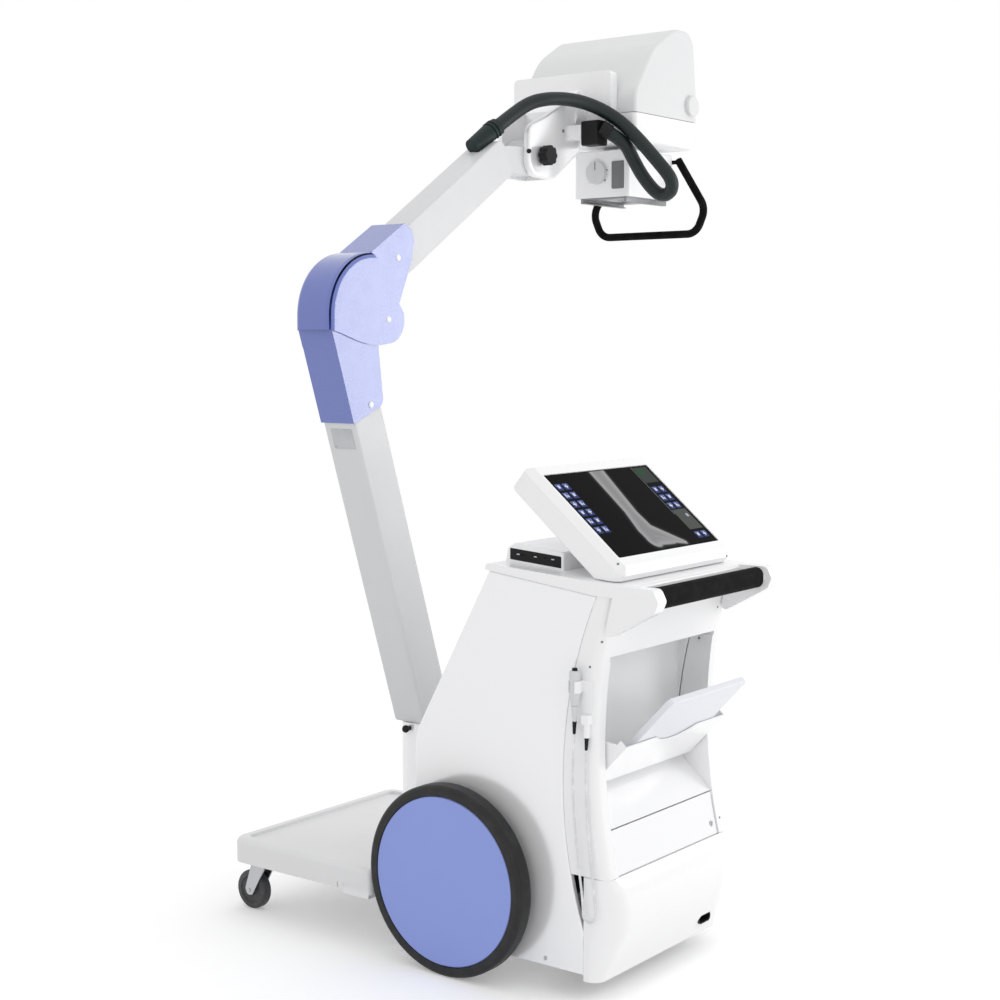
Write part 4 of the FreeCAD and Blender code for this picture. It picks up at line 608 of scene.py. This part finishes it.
def spline_length(piece):
    """Length of a curve's own line."""
    data = piece.data.copy()
    data.bevel_depth = 0.0
    line = bpy.data.objects.new("measure", data)
    mesh = bpy.data.meshes.new_from_object(line)
    total = sum((mesh.vertices[edge.vertices[0]].co - mesh.vertices[edge.vertices[1]].co).length
                for edge in mesh.edges)
    bpy.data.objects.remove(line)
    bpy.data.meshes.remove(mesh)
    bpy.data.curves.remove(data)
    return total


class XrayOperator:
    """What all the operators share."""

    bl_options = {"REGISTER", "UNDO"}


class XRAY_OT_white_panels(XrayOperator, bpy.types.Operator):
    """Paint the sheet-metal panels, column and arm, and finish the white mouldings; the column and arm paint
    and the head cover's and platform's mouldings are darker copies that stand for painted shade
    """

    bl_idname = "xray.white_panels"
    bl_label = "White panels and mouldings"

    panels = ("side_panel_near", "side_panel_far", "front_cover", "turret_post", "lower_door",
              "head_bracket")
    arm_pieces = ("column", "upper_arm")
    mouldings = ("rear_frame", "rear_bumper", "recess_liner", "console_top", "connector_box",
                 "detector_bin", "monitor_housing", "switch_holder", "collimator_body", "head_base")

    def execute(self, context):
        # Painted shade: the column and arm paint and the head cover moulding are darker copies of the white
        # finishes
        for nodes, material in ((self.panels, white_paint()), (self.arm_pieces, arm_paint()),
                                (self.mouldings, white_moulding()), (("head_cover",), head_moulding())):
            for node in nodes:
                dress(node, material)
        # Painted shade: the platform gets the darker copy of the white moulding
        dress("front_platform", tray_moulding())
        return {"FINISHED"}


class XRAY_OT_blue_pieces(XrayOperator, bpy.types.Operator):
    """Finish the blue elbow covers and wheel discs"""

    bl_idname = "xray.blue_pieces"
    bl_label = "Blue covers and discs"

    def execute(self, context):
        for node in ("elbow_upper_cover", "elbow_lower_cover"):
            dress(node, finish("cover_blue", glossy_cover, finishes().cover_blue))
        for node in ("disc_near", "disc_far"):
            dress(node, finish("disc_blue", moulded, finishes().disc_blue, 0.42, 0.3, 1600.0))
        return {"FINISHED"}


class XRAY_OT_running_gear(XrayOperator, bpy.types.Operator):
    """Finish the frame, axle, drive wheels and casters"""

    bl_idname = "xray.running_gear"
    bl_label = "Running gear"

    def execute(self, context):
        dress("base_frame", finish("frame_paint", powder_coat, darker(finishes().white_paint, 0.75)))
        dress("drive_axle", fine_steel())
        for side in ("near", "far"):
            dress("hub_" + side, finish("wheel_paint", powder_coat, darker(finishes().steel, 0.8)))
            tyre = "tyre_" + side
            dress(tyre, finish(tyre + "_rubber", turned_rubber, finishes().tyre_black, tyre), False)
            dress("caster_plate_" + side, fitting_black())
            dress("caster_fork_" + side, fine_steel())
            wheel = "caster_wheel_" + side
            dress(wheel, finish(wheel + "_rubber", turned_rubber, finishes().caster_grey, wheel), False)
        return {"FINISHED"}


class XRAY_OT_dark_fittings(XrayOperator, bpy.types.Operator):
    """Finish the knobs, grips, port panel, inlet and other dark fittings"""

    bl_idname = "xray.dark_fittings"
    bl_label = "Dark fittings and grips"

    def execute(self, context):
        for node in ("swivel_lock", "power_inlet", "connector_panel", "tilt_knob", "cable_block",
                     "switch_button"):
            dress(node, fitting_black())
        dress("lamp_button", mark_grey())
        dress("filter_rails", finish("rail_steel", brushed_steel, darker(finishes().steel, 0.5)))
        for node in ("handle_grip", "head_handle"):
            dress(node, finish("grip_black", rubber, finishes().grip_black, 0.7, 0.05, 1500.0))
        dress("hose_boot", finish("boot_rubber", rubber, finishes().hose_green, 0.55, 0.3, 1200.0))
        return {"FINISHED"}


class XRAY_OT_small_metal(XrayOperator, bpy.types.Operator):
    """Finish the pins, latch, dial, detector and screen glass"""

    bl_idname = "xray.small_metal"
    bl_label = "Pins, dial, detector and glass"

    def execute(self, context):
        for node in ("monitor_bracket", "door_latch", "elbow_pin"):
            dress(node, fine_steel())
        for node in ("field_dial", "hand_switch"):
            dress(node, dial_grey())
        dress("detector_panel", finish("detector_grey", moulded, finishes().detector_grey, 0.4, 0.3, 1500.0))
        dress("monitor_screen", finish("screen_glass", screen_glass, finishes().glass_black), False)
        return {"FINISHED"}


class XRAY_OT_inner_units(XrayOperator, bpy.types.Operator):
    """Finish what the covers hide: generator tank, batteries, spring and tube unit"""

    bl_idname = "xray.inner_units"
    bl_label = "Inner units"

    def execute(self, context):
        for node in ("hv_generator", "balance_spring", "xray_tube"):
            dress(node, finish("tank_grey", powder_coat, finishes().tank_grey))
        dress("battery_pack", fitting_black())
        return {"FINISHED"}


class XRAY_OT_hose(XrayOperator, bpy.types.Operator):
    """Lay the high-voltage hose from the arm's boot round the head to its receptacle"""

    bl_idname = "xray.hose"
    bl_label = "High-voltage hose"

    def execute(self, context):
        jacket = finish("hose_jacket", braided, finishes().hose_green, 900.0, 60.0)
        hose = smooth_curve("high_voltage_hose", HOSE_ROUTE, fittings().hose, jacket, "arm")
        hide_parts("hv_hose")
        round(spline_length(hose), 3)
        return {"FINISHED"}


class XRAY_OT_switch_lead(XrayOperator, bpy.types.Operator):
    """Hang the hand switch's lead down the near post and back up to its socket"""

    bl_idname = "xray.switch_lead"
    bl_label = "Hand switch lead"

    def execute(self, context):
        jacket = finish("lead_jacket", rubber, finishes().lead_white, 0.5, 0.3, 2000.0)
        lead = smooth_curve("switch_lead", LEAD_ROUTE, fittings().lead, jacket, "cart")
        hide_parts("switch_cord")
        round(spline_length(lead), 3)
        return {"FINISHED"}


class XRAY_OT_cover_caps(XrayOperator, bpy.types.Operator):
    """Put the white caps over the screws of the elbow covers, on both sides"""

    bl_idname = "xray.cover_caps"
    bl_label = "Cover caps"

    cap_height = 0.0028
    caps = (
        ("elbow_upper_cover", "arm", ((-0.190, 1.507, 0.0), (-0.148, 1.655, 0.005))),
        ("elbow_lower_cover", "column", ((-0.250, 1.306, 0.0),)),
    )

    def execute(self, context):
        for node, body, places in self.caps:
            low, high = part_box(node)
            work = bmesh.new()
            for y, z, inset in places:
                for face, out in ((high.x - inset, 1), (low.x + inset, -1)):
                    point = at(0, y, z)
                    point.x = face - out * FOOT_DEPTH
                    domed_cap(work, point, (out, 0, 0), fittings().cap, self.cap_height)
            mesh_object(node + "_caps", work, white_moulding(), body)
        return {"FINISHED"}


def turned_pieces(name, places, make, material, body):
    """One piece made of the same small turned shape at several places, each with its outward direction."""
    work = bmesh.new()
    for point, normal in places:
        make(work, at(*point), normal)
    mesh_object(name, work, material, body)


class XRAY_OT_bare_plate(XrayOperator, bpy.types.Operator):
    """Fix the bare plate to the column's near face, with its four rivets"""

    bl_idname = "xray.bare_plate"
    bl_label = "Bare plate"

    middle = (-0.3253, -0.2951, 1.2253)
    out = (0.0, -0.950, -0.312)
    corner = 0.003
    thickness = 0.0008
    rim = 0.0003
    rivet_inset = 0.004
    rivet_foot = 0.0007

    def execute(self, context):
        sizes = fittings()
        frame = facing(at(*self.middle), self.out)
        work = bmesh.new()
        outline = rounded_outline(sizes.plate_wide, sizes.plate_high, self.corner)
        raise_plate(work, outline, frame, self.thickness, self.rim)
        silver = finish("plate_silver", brushed_steel, finishes().plate_silver)
        mesh_object("bare_plate", work, silver, "column")
        work = bmesh.new()
        reach_x = sizes.plate_wide / 2 - self.rivet_inset
        reach_y = sizes.plate_high / 2 - self.rivet_inset
        for x, y in ((reach_x, reach_y), (-reach_x, reach_y), (-reach_x, -reach_y), (reach_x, -reach_y)):
            domed_cap(work, frame @ Vector((x, y, self.rivet_foot)), self.out, 0.0016, 0.0009)
        mesh_object("plate_rivets", work, fine_steel(), "column")
        return {"FINISHED"}


class XRAY_OT_panel_fasteners(XrayOperator, bpy.types.Operator):
    """Set the screws and small dark fasteners into the panels, posts, bezel and head"""

    bl_idname = "xray.panel_fasteners"
    bl_label = "Panel fasteners"

    near = (0.0, -1.0, 0.0)
    far = (0.0, 1.0, 0.0)
    rear_frame_dots = (
        ((0.3861, -0.2528, 0.8093), (0.7, -0.7, -0.13)),
        ((0.3593, -0.259, 0.7526), near),
        ((0.4018, 0.2307, 0.3184), (0.98, 0.0, 0.22)),
        ((0.3476, 0.217, 0.7497), near),
        ((0.3969, 0.2182, 0.829), (0.98, 0.0, -0.21)),
    )
    lower_door_dots = (
        ((0.3941, 0.1803, 0.3123), (0.97, 0.0, 0.23)),
        ((0.3983, 0.1737, 0.2951), (0.97, 0.0, 0.24)),
        ((0.3965, 0.2044, 0.3024), (0.97, 0.0, 0.23)),
    )
    bezel_dots = (
        ((0.4069, -0.2238, 0.9774), (0.45, -0.71, 0.54)),
        ((0.4225, 0.2136, 0.9529), (1.0, 0.0, 0.09)),
    )
    collimator_dots = (
        ((-0.2724, 0.732, 1.9307), near),
        ((-0.2779, 0.732, 1.9035), near),
    )
    bracket_plugs = (
        ((-0.275, 0.590, 2.051), (1.0, 0.0, 0.0)),
        ((-0.2774, 0.3757, 1.952), (0.71, -0.71, 0.04)),
    )
    panel_screw = (0.2433, -0.260, 0.0786)
    bracket_screw = ((-0.275, 0.5256, 2.0178), (1.0, 0.0, 0.0))

    def execute(self, context):
        sizes = fittings()

        def dot(work, point, normal):
            profile = [(sizes.dot, -FOOT_DEPTH), (sizes.dot, 0.0004), (sizes.dot * 0.8, 0.0007),
                       (0.0, 0.0005)]
            turn_profile(work, profile, facing(point, normal), 20)

        def screw(work, point, normal):
            socket_screw(work, point, normal, sizes.screw)

        def plug(work, point, normal):
            domed_cap(work, point, normal, sizes.cap * 0.75, 0.0022)

        for name, places, body in (("rear_frame_dots", self.rear_frame_dots, "cart"),
                                   ("lower_door_dots", self.lower_door_dots, "door"),
                                   ("bezel_dots", self.bezel_dots, "monitor"),
                                   ("collimator_dots", self.collimator_dots, "collimator")):
            turned_pieces(name, places, dot, mark_grey(), body)
        x, y, z = self.panel_screw
        sides = (((x, y, z), self.near), ((x, -y, z), self.far))
        turned_pieces("side_panel_screws", sides, screw, fine_steel(), "cart")
        turned_pieces("bracket_screw", (self.bracket_screw,), screw, mark_grey(), "bracket")
        turned_pieces("bracket_plugs", self.bracket_plugs, plug, fitting_black(), "bracket")
        return {"FINISHED"}


class XRAY_OT_dial_ticks(XrayOperator, bpy.types.Operator):
    """Mark the field dial's scale round it, and its pointer on the knob"""

    bl_idname = "xray.dial_ticks"
    bl_label = "Dial ticks"

    out = Vector((0.0, -1.0, 0.0))
    first_angle = math.radians(-135)
    sweep = math.radians(270)
    dial_gap = 0.0022

    def execute(self, context):
        low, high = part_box("field_dial")
        centre = (low + high) / 2
        radius = (high.x - low.x) / 2
        face_low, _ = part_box("collimator_body")
        self.scale(Vector((centre.x, face_low.y, centre.z)), radius)
        self.pointer(Vector((centre.x, low.y, centre.z)), radius)
        return {"FINISHED"}

    def scale(self, centre, radius):
        """Marks round the dial, with a longer one at every sixth."""
        sizes = fittings()
        work = bmesh.new()
        for step in range(sizes.ticks + 1):
            angle = self.first_angle + self.sweep * step / sizes.ticks
            away = Vector((math.sin(angle), 0.0, math.cos(angle)))
            long_tick = sizes.tick * (1.5 if step % 6 == 0 else 1.0)
            middle = centre + away * (radius + self.dial_gap + long_tick / 2)
            outline = rounded_outline(0.0008, long_tick, 0.0003, 2)
            raise_plate(work, outline, facing(middle, self.out, away), 0.0003, 0.0001)
        mesh_object("dial_scale", work, mark_grey(), "collimator")

    def pointer(self, centre, radius):
        work = bmesh.new()
        middle = centre + Vector((0.0, 0.0, radius * 0.55))
        outline = rounded_outline(0.0016, radius * 0.7, 0.0007, 3)
        raise_plate(work, outline, facing(middle, self.out), 0.0004, 0.00015)
        mesh_object("dial_pointer", work, fitting_black(), "dial")


class XRAY_OT_lead_fittings(XrayOperator, bpy.types.Operator):
    """Put a tapered sleeve where the lead leaves the switch and enters its socket"""

    bl_idname = "xray.lead_fittings"
    bl_label = "Lead sleeves"

    def execute(self, context):
        for name, route in (("switch_sleeve", LEAD_ROUTE[:2]), ("socket_sleeve", LEAD_ROUTE[:-3:-1])):
            start, ahead = (at(*place) for place in route)
            work = bmesh.new()
            turn_profile(work, self.profile(fittings().lead / 2), facing(start, ahead - start), 20)
            mesh_object(name, work, fitting_black(), "cart")
        return {"FINISHED"}

    def profile(self, radius):
        """Five ribs that grow thinner along the lead, and the end that closes on it."""
        ribs = 5
        pitch = 0.0048
        pairs = [(radius + 0.0022, 0.0)]
        for rib in range(ribs):
            foot = 0.003 + rib * pitch
            thick = between(0.0021, 0.0009, rib / (ribs - 1))
            pairs += [(radius + thick, foot), (radius + thick, foot + 0.0028),
                      (radius + thick * 0.5, foot + 0.0033), (radius + thick * 0.5, foot + 0.0045)]
        return pairs + [(radius + 0.0004, 0.0275), (radius + 0.0001, 0.0278)]


class XRAY_OT_port_inserts(XrayOperator, bpy.types.Operator):
    """Fill the port panel's three sockets with their pale tongues"""

    bl_idname = "xray.port_inserts"
    bl_label = "Port tongues"

    def execute(self, context):
        low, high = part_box("connector_panel")
        work = bmesh.new()
        for share in (0.16, 0.5, 0.84):
            height = between(high.z, low.z, 0.33 + 0.2 * share)
            frame = facing((between(low.x, high.x, share), low.y, height), (0.0, -1.0, 0.0))
            raise_plate(work, rounded_outline(0.008, 0.0022, 0.0005, 2), frame, 0.0005, 0.0002)
        mesh_object("port_tongues", work, dial_grey(), "cart")
        return {"FINISHED"}


class XRAY_OT_grip_rings(XrayOperator, bpy.types.Operator):
    """Close the handle's grip with a pale ring at each end"""

    bl_idname = "xray.grip_rings"
    bl_label = "Grip rings"

    grip_half = 0.220
    profile = ((0.0095, 0.0), (0.0150, 0.0008), (0.0160, 0.0035), (0.0150, 0.0075), (0.0095, 0.0090))

    def execute(self, context):
        low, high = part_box("handle_grip")
        centre = (low + high) / 2
        work = bmesh.new()
        for side in (-1, 1):
            start = Vector((centre.x, centre.y + side * self.grip_half, centre.z))
            turn_profile(work, self.profile, facing(start, (0.0, side, 0.0)), 36)
        mesh_object("grip_rings", work, white_moulding(), "cart")
        return {"FINISHED"}


# Screen picture: places in metres across and down the glass, colours as light

GROUND_LIFT = 0.00006
PATCH_LIFT = 0.00012
SHINE_LIFT = 0.00016
SIGN_LIFT = 0.0002
BUTTON_BLUE = (0.04, 0.06, 0.20)
BUTTON_SHINE = (0.14, 0.18, 0.42)
PALE_SIGN = (0.75, 0.80, 0.95)
BLUE_SIGN = (0.68, 0.74, 0.92)

# Each length of the leg: place and radius where it starts, place and radius where it ends
BONES = (
    (0.207, 0.000, 0.031, 0.194, 0.140, 0.024),
    (0.194, 0.140, 0.024, 0.190, 0.200, 0.034),
    (0.190, 0.200, 0.034, 0.184, 0.228, 0.027),
    (0.184, 0.224, 0.026, 0.246, 0.238, 0.015),
    (0.198, 0.205, 0.030, 0.250, 0.232, 0.018),
    (0.250, 0.232, 0.018, 0.292, 0.252, 0.007),
)


def inside_bone(x, y):
    """How far a point of the film lies inside the leg's outline, in metres."""
    deepest = -1.0
    for from_x, from_y, from_radius, to_x, to_y, to_radius in BONES:
        run = Vector((to_x - from_x, to_y - from_y))
        share = max(0.0, min(1.0, Vector((x - from_x, y - from_y)).dot(run) / run.length_squared))
        radius = between(from_radius, to_radius, share)
        away = math.hypot(x - from_x - run.x * share, y - from_y - run.y * share)
        deepest = max(deepest, radius - away)
    return deepest


def film_light(x, y):
    """Brightness of the radiograph: dim flesh round the bone, and a brighter rim on the bone."""
    depth = inside_bone(x, y)
    flesh = 0.02 * max(0.0, min(1.0, (depth + 0.012) / 0.010))
    rim = math.exp(-((depth - 0.0035) / 0.0035) ** 2)
    middle = max(0.0, min(1.0, (depth + 0.001) / 0.005))
    hollow = 0.07 * max(0.0, min(1.0, (depth - 0.010) / 0.012))
    weave = 0.015 * math.sin(x * 700) * math.sin(y * 520) * middle
    return flesh + 0.06 * rim + 0.34 * middle - hollow + weave


def paint_quad(work, layer, corners, tint):
    face = work.faces.new([work.verts.new(corner) for corner in corners])
    for loop in face.loops:
        loop[layer] = (*tint, 1)


class XRAY_OT_screen_picture(XrayOperator, bpy.types.Operator):
    """Show a plain leg radiograph on the screen, between two columns of icons"""

    bl_idname = "xray.screen_picture"
    bl_label = "Screen picture"

    tilt = math.radians(39.8)

    # Three signs in shares of a button: left, top, width and height of each bar
    signs = (
        ((0.3, 0.25, 0.4, 0.42, PALE_SIGN),),
        ((0.2, 0.4, 0.6, 0.16, PALE_SIGN), (0.42, 0.2, 0.16, 0.58, PALE_SIGN)),
        ((0.2, 0.22, 0.24, 0.52, BLUE_SIGN), (0.54, 0.42, 0.24, 0.32, BLUE_SIGN)),
    )

    def sheet(self):
        """Corner, directions and size of the lit area on the glass."""
        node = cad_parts["monitor_screen"]
        out = Vector((math.sin(self.tilt), 0, math.cos(self.tilt)))
        down = Vector((math.cos(self.tilt), 0, -math.sin(self.tilt)))
        face = max(vertex.co.dot(out) for vertex in node.data.vertices)
        top = min(vertex.co.dot(down) for vertex in node.data.vertices)
        bottom = max(vertex.co.dot(down) for vertex in node.data.vertices)
        low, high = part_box("monitor_screen")
        corner = out * (face + 0.00015) + down * top + Vector((0, low.y, 0))
        return corner, Vector((0, 1, 0)), down, out, high.y - low.y, bottom - top

    def execute(self, context):
        corner, across, down, out, wide, high = self.sheet()
        work = bmesh.new()
        layer = work.loops.layers.float_color.new(PICTURE_COLOUR)

        def spot(x, y, lift):
            return corner + across * x + down * y + out * lift

        def patch(x, y, size_x, size_y, tint, lift=PATCH_LIFT):
            corners = [spot(x, y, lift), spot(x, y + size_y, lift), spot(x + size_x, y + size_y, lift),
                       spot(x + size_x, y, lift)]
            paint_quad(work, layer, corners, tint)

        patch(0.001, 0.001, wide - 0.002, high - 0.002, (0.0, 0.0, 0.0), GROUND_LIFT)
        self.film(work, layer, spot, wide, high)
        self.icons(patch, 0.010, 0.030, 2, 6)
        self.icons(patch, wide - 0.064, 0.072, 2, 3)
        patch(wide - 0.068, 0.006, 0.058, 0.052, (0.05, 0.06, 0.055))
        patch(wide - 0.062, 0.012, 0.024, 0.018, (0.02, 0.09, 0.04), SIGN_LIFT)
        patch(wide - 0.068, 0.152, 0.058, 0.066, (0.09, 0.095, 0.09))
        patch(wide - 0.030, 0.168, 0.010, 0.010, (0.45, 0.5, 0.55), SIGN_LIFT)
        patch(wide - 0.0725, 0.002, 0.0012, high * 0.62, (0.35, 0.38, 0.40))
        self.icons(patch, wide - 0.064, 0.226, 2, 1)
        mesh_object("screen_picture", work, finish("lit_picture", lit_picture), "monitor")
        return {"FINISHED"}

    def film(self, work, layer, spot, wide, high):
        """The radiograph as a fine grid of painted corners."""
        margin = 0.003
        left, right = 0.072, wide - 0.078
        columns, rows = 96, 92
        verts = []
        light = []
        for row in range(rows + 1):
            y = between(margin, high - margin, row / rows)
            line = []
            for column in range(columns + 1):
                x = between(left, right, column / columns)
                line.append(work.verts.new(spot(x, y, PATCH_LIFT)))
                light.append(film_light(x, y))
            verts.append(line)
        for row in range(rows):
            for column in range(columns):
                places = ((row, column), (row + 1, column), (row + 1, column + 1), (row, column + 1))
                face = work.faces.new([verts[at_row][at_column] for at_row, at_column in places])
                for loop, (at_row, at_column) in zip(face.loops, places):
                    value = light[at_row * (columns + 1) + at_column]
                    loop[layer] = (value, value, value * 1.02, 1)

    def icons(self, patch, left, top, columns, rows):
        """Blue buttons, each with a pale sign."""
        side = fittings().icon
        pitch = side * 1.32
        for row in range(rows):
            for column in range(columns):
                x = left + column * pitch
                y = top + row * pitch
                patch(x, y, side, side, BUTTON_BLUE)
                patch(x + side * 0.06, y + side * 0.06, side * 0.88, side * 0.3, BUTTON_SHINE, SHINE_LIFT)
                for from_x, from_y, wide, high, tint in self.signs[(row * 2 + column) % 3]:
                    patch(x + side * from_x, y + side * from_y, side * wide, side * high, tint, SIGN_LIFT)


# Studio


class XRAY_OT_studio(XrayOperator, bpy.types.Operator):
    """Set up the pale floor, the soft lights, the white surroundings and the camera"""

    bl_idname = "xray.studio"
    bl_label = "Studio"

    # Each softbox: its setting, where it stands, what it faces, its width and height
    softboxes = (
        ("key", (2.05, 2.45, 1.55), (-0.28, -0.19, 1.5), (1.2, 1.5)),
        ("top", (0.4, -0.4, 4.4), (0.0, 0.1, 0.8), (3.0, 3.0)),
        ("rear", (2.6, -0.9, 0.55), (0.3, 0.0, 0.55), (1.6, 0.9)),
    )
    camera_place = (2.4426, -3.2957, 1.45)
    camera_pitch = math.radians(84.805)
    camera_turn = math.radians(37.485)
    floor_white = (0.93, 0.93, 0.93)
    floor_glow = 0.22

    def execute(self, context):
        context.scene.view_settings.view_transform = "Standard"
        self.surroundings(context)
        self.floor(context)
        settings = context.scene.xray_studio
        for name, place, target, size in self.softboxes:
            self.softbox(name + "_softbox", at(*place), at(*target), size, getattr(settings, name))
        self.camera(context, settings)
        return {"FINISHED"}

    def surroundings(self, context):
        """Even light all round, which the camera and polished pieces see as plain white."""
        world = bpy.data.worlds.new("surroundings")
        context.scene.world = world
        world.use_nodes = True
        tree = world.node_tree
        background = tree.nodes["Background"]
        background.inputs["Color"].default_value = (1, 1, 1, 1)
        tree.links.new(self.seen(tree, context.scene.xray_studio.fill, 1.0), background.inputs["Strength"])

    def seen(self, tree, unseen, shown):
        """One value for light that the camera, a gloss or a glass sees, and another for the rest."""
        path = tree.nodes.new("ShaderNodeLightPath")
        share = path.outputs["Is Camera Ray"]
        for ray in ("Is Glossy Ray", "Is Transmission Ray"):
            share = add_math(tree, "MAXIMUM", share, path.outputs[ray])
        pick = tree.nodes.new("ShaderNodeMapRange")
        pick.inputs["To Min"].default_value = unseen
        pick.inputs["To Max"].default_value = shown
        tree.links.new(share, pick.inputs["Value"])
        return pick.outputs["Result"]

    def floor(self, context):
        """A wide pale floor that keeps the machine's shadow."""
        work = bmesh.new()
        bmesh.ops.create_grid(work, x_segments=8, y_segments=8, size=40.0)
        data = bpy.data.meshes.new("studio_floor")
        work.to_mesh(data)
        work.free()
        floor = bpy.data.objects.new("studio_floor", data)
        context.scene.collection.objects.link(floor)
        material, tree, shader = new_finish("studio_floor", self.floor_white, 0.9, 0.0)
        vary(tree, shader, place_texture(tree), self.floor_white, 0.9, 0.004, 0.6)
        shader.inputs["Emission Color"].default_value = (1, 1, 1, 1)
        tree.links.new(self.seen(tree, 0.0, self.floor_glow), shader.inputs["Emission Strength"])
        data.materials.append(material)

    def softbox(self, name, place, target, size, power):
        light = bpy.data.lights.new(name, "AREA")
        light.shape = "RECTANGLE"
        light.size, light.size_y = size
        light.energy = power
        lamp = bpy.data.objects.new(name, light)
        lamp.location = place
        lamp.rotation_euler = (target - place).to_track_quat("-Z", "Y").to_euler()
        bpy.context.scene.collection.objects.link(lamp)

    def camera(self, context, settings):
        data = bpy.data.cameras.new("camera")
        data.sensor_width = 36.0
        data.lens = settings.lens
        data.clip_end = 100.0
        camera = bpy.data.objects.new("camera", data)
        camera.location = at(*self.camera_place)
        camera.rotation_euler = (self.camera_pitch, 0.0, self.camera_turn)
        context.scene.collection.objects.link(camera)
        context.scene.camera = camera


PIECE_OPERATORS = (XRAY_OT_white_panels, XRAY_OT_blue_pieces, XRAY_OT_running_gear, XRAY_OT_dark_fittings,
                   XRAY_OT_small_metal, XRAY_OT_inner_units, XRAY_OT_hose, XRAY_OT_switch_lead,
                   XRAY_OT_cover_caps, XRAY_OT_bare_plate, XRAY_OT_panel_fasteners, XRAY_OT_dial_ticks,
                   XRAY_OT_lead_fittings, XRAY_OT_port_inserts, XRAY_OT_grip_rings, XRAY_OT_screen_picture,
                   XRAY_OT_studio)


class XRAY_PT_panel(bpy.types.Panel):
    """Sizes, colours and steps of the x-ray machine"""

    bl_idname = "XRAY_PT_panel"
    bl_label = "Mobile x-ray machine"
    bl_space_type = "VIEW_3D"
    bl_region_type = "UI"
    bl_category = "X-ray machine"

    def draw(self, context):
        for group in (context.scene.xray_finishes, context.scene.xray_fittings, context.scene.xray_studio):
            box = self.layout.box()
            for name in group.__annotations__:
                box.prop(group, name)
        for operator in PIECE_OPERATORS:
            self.layout.operator(operator.bl_idname)


CLASSES = (XrayFinishes, XrayFittings, XrayStudio, *PIECE_OPERATORS, XRAY_PT_panel)


def register():
    for each in CLASSES:
        bpy.utils.register_class(each)
    bpy.types.Scene.xray_finishes = PointerProperty(type=XrayFinishes)
    bpy.types.Scene.xray_fittings = PointerProperty(type=XrayFittings)
    bpy.types.Scene.xray_studio = PointerProperty(type=XrayStudio)


def unregister():
    del bpy.types.Scene.xray_finishes
    del bpy.types.Scene.xray_fittings
    del bpy.types.Scene.xray_studio
    for each in reversed(CLASSES):
        bpy.utils.unregister_class(each)


def main():
    register()
    for operator in PIECE_OPERATORS:
        group, name = operator.bl_idname.split(".")
        getattr(getattr(bpy.ops, group), name)()


if __name__ == "__main__":
    main()
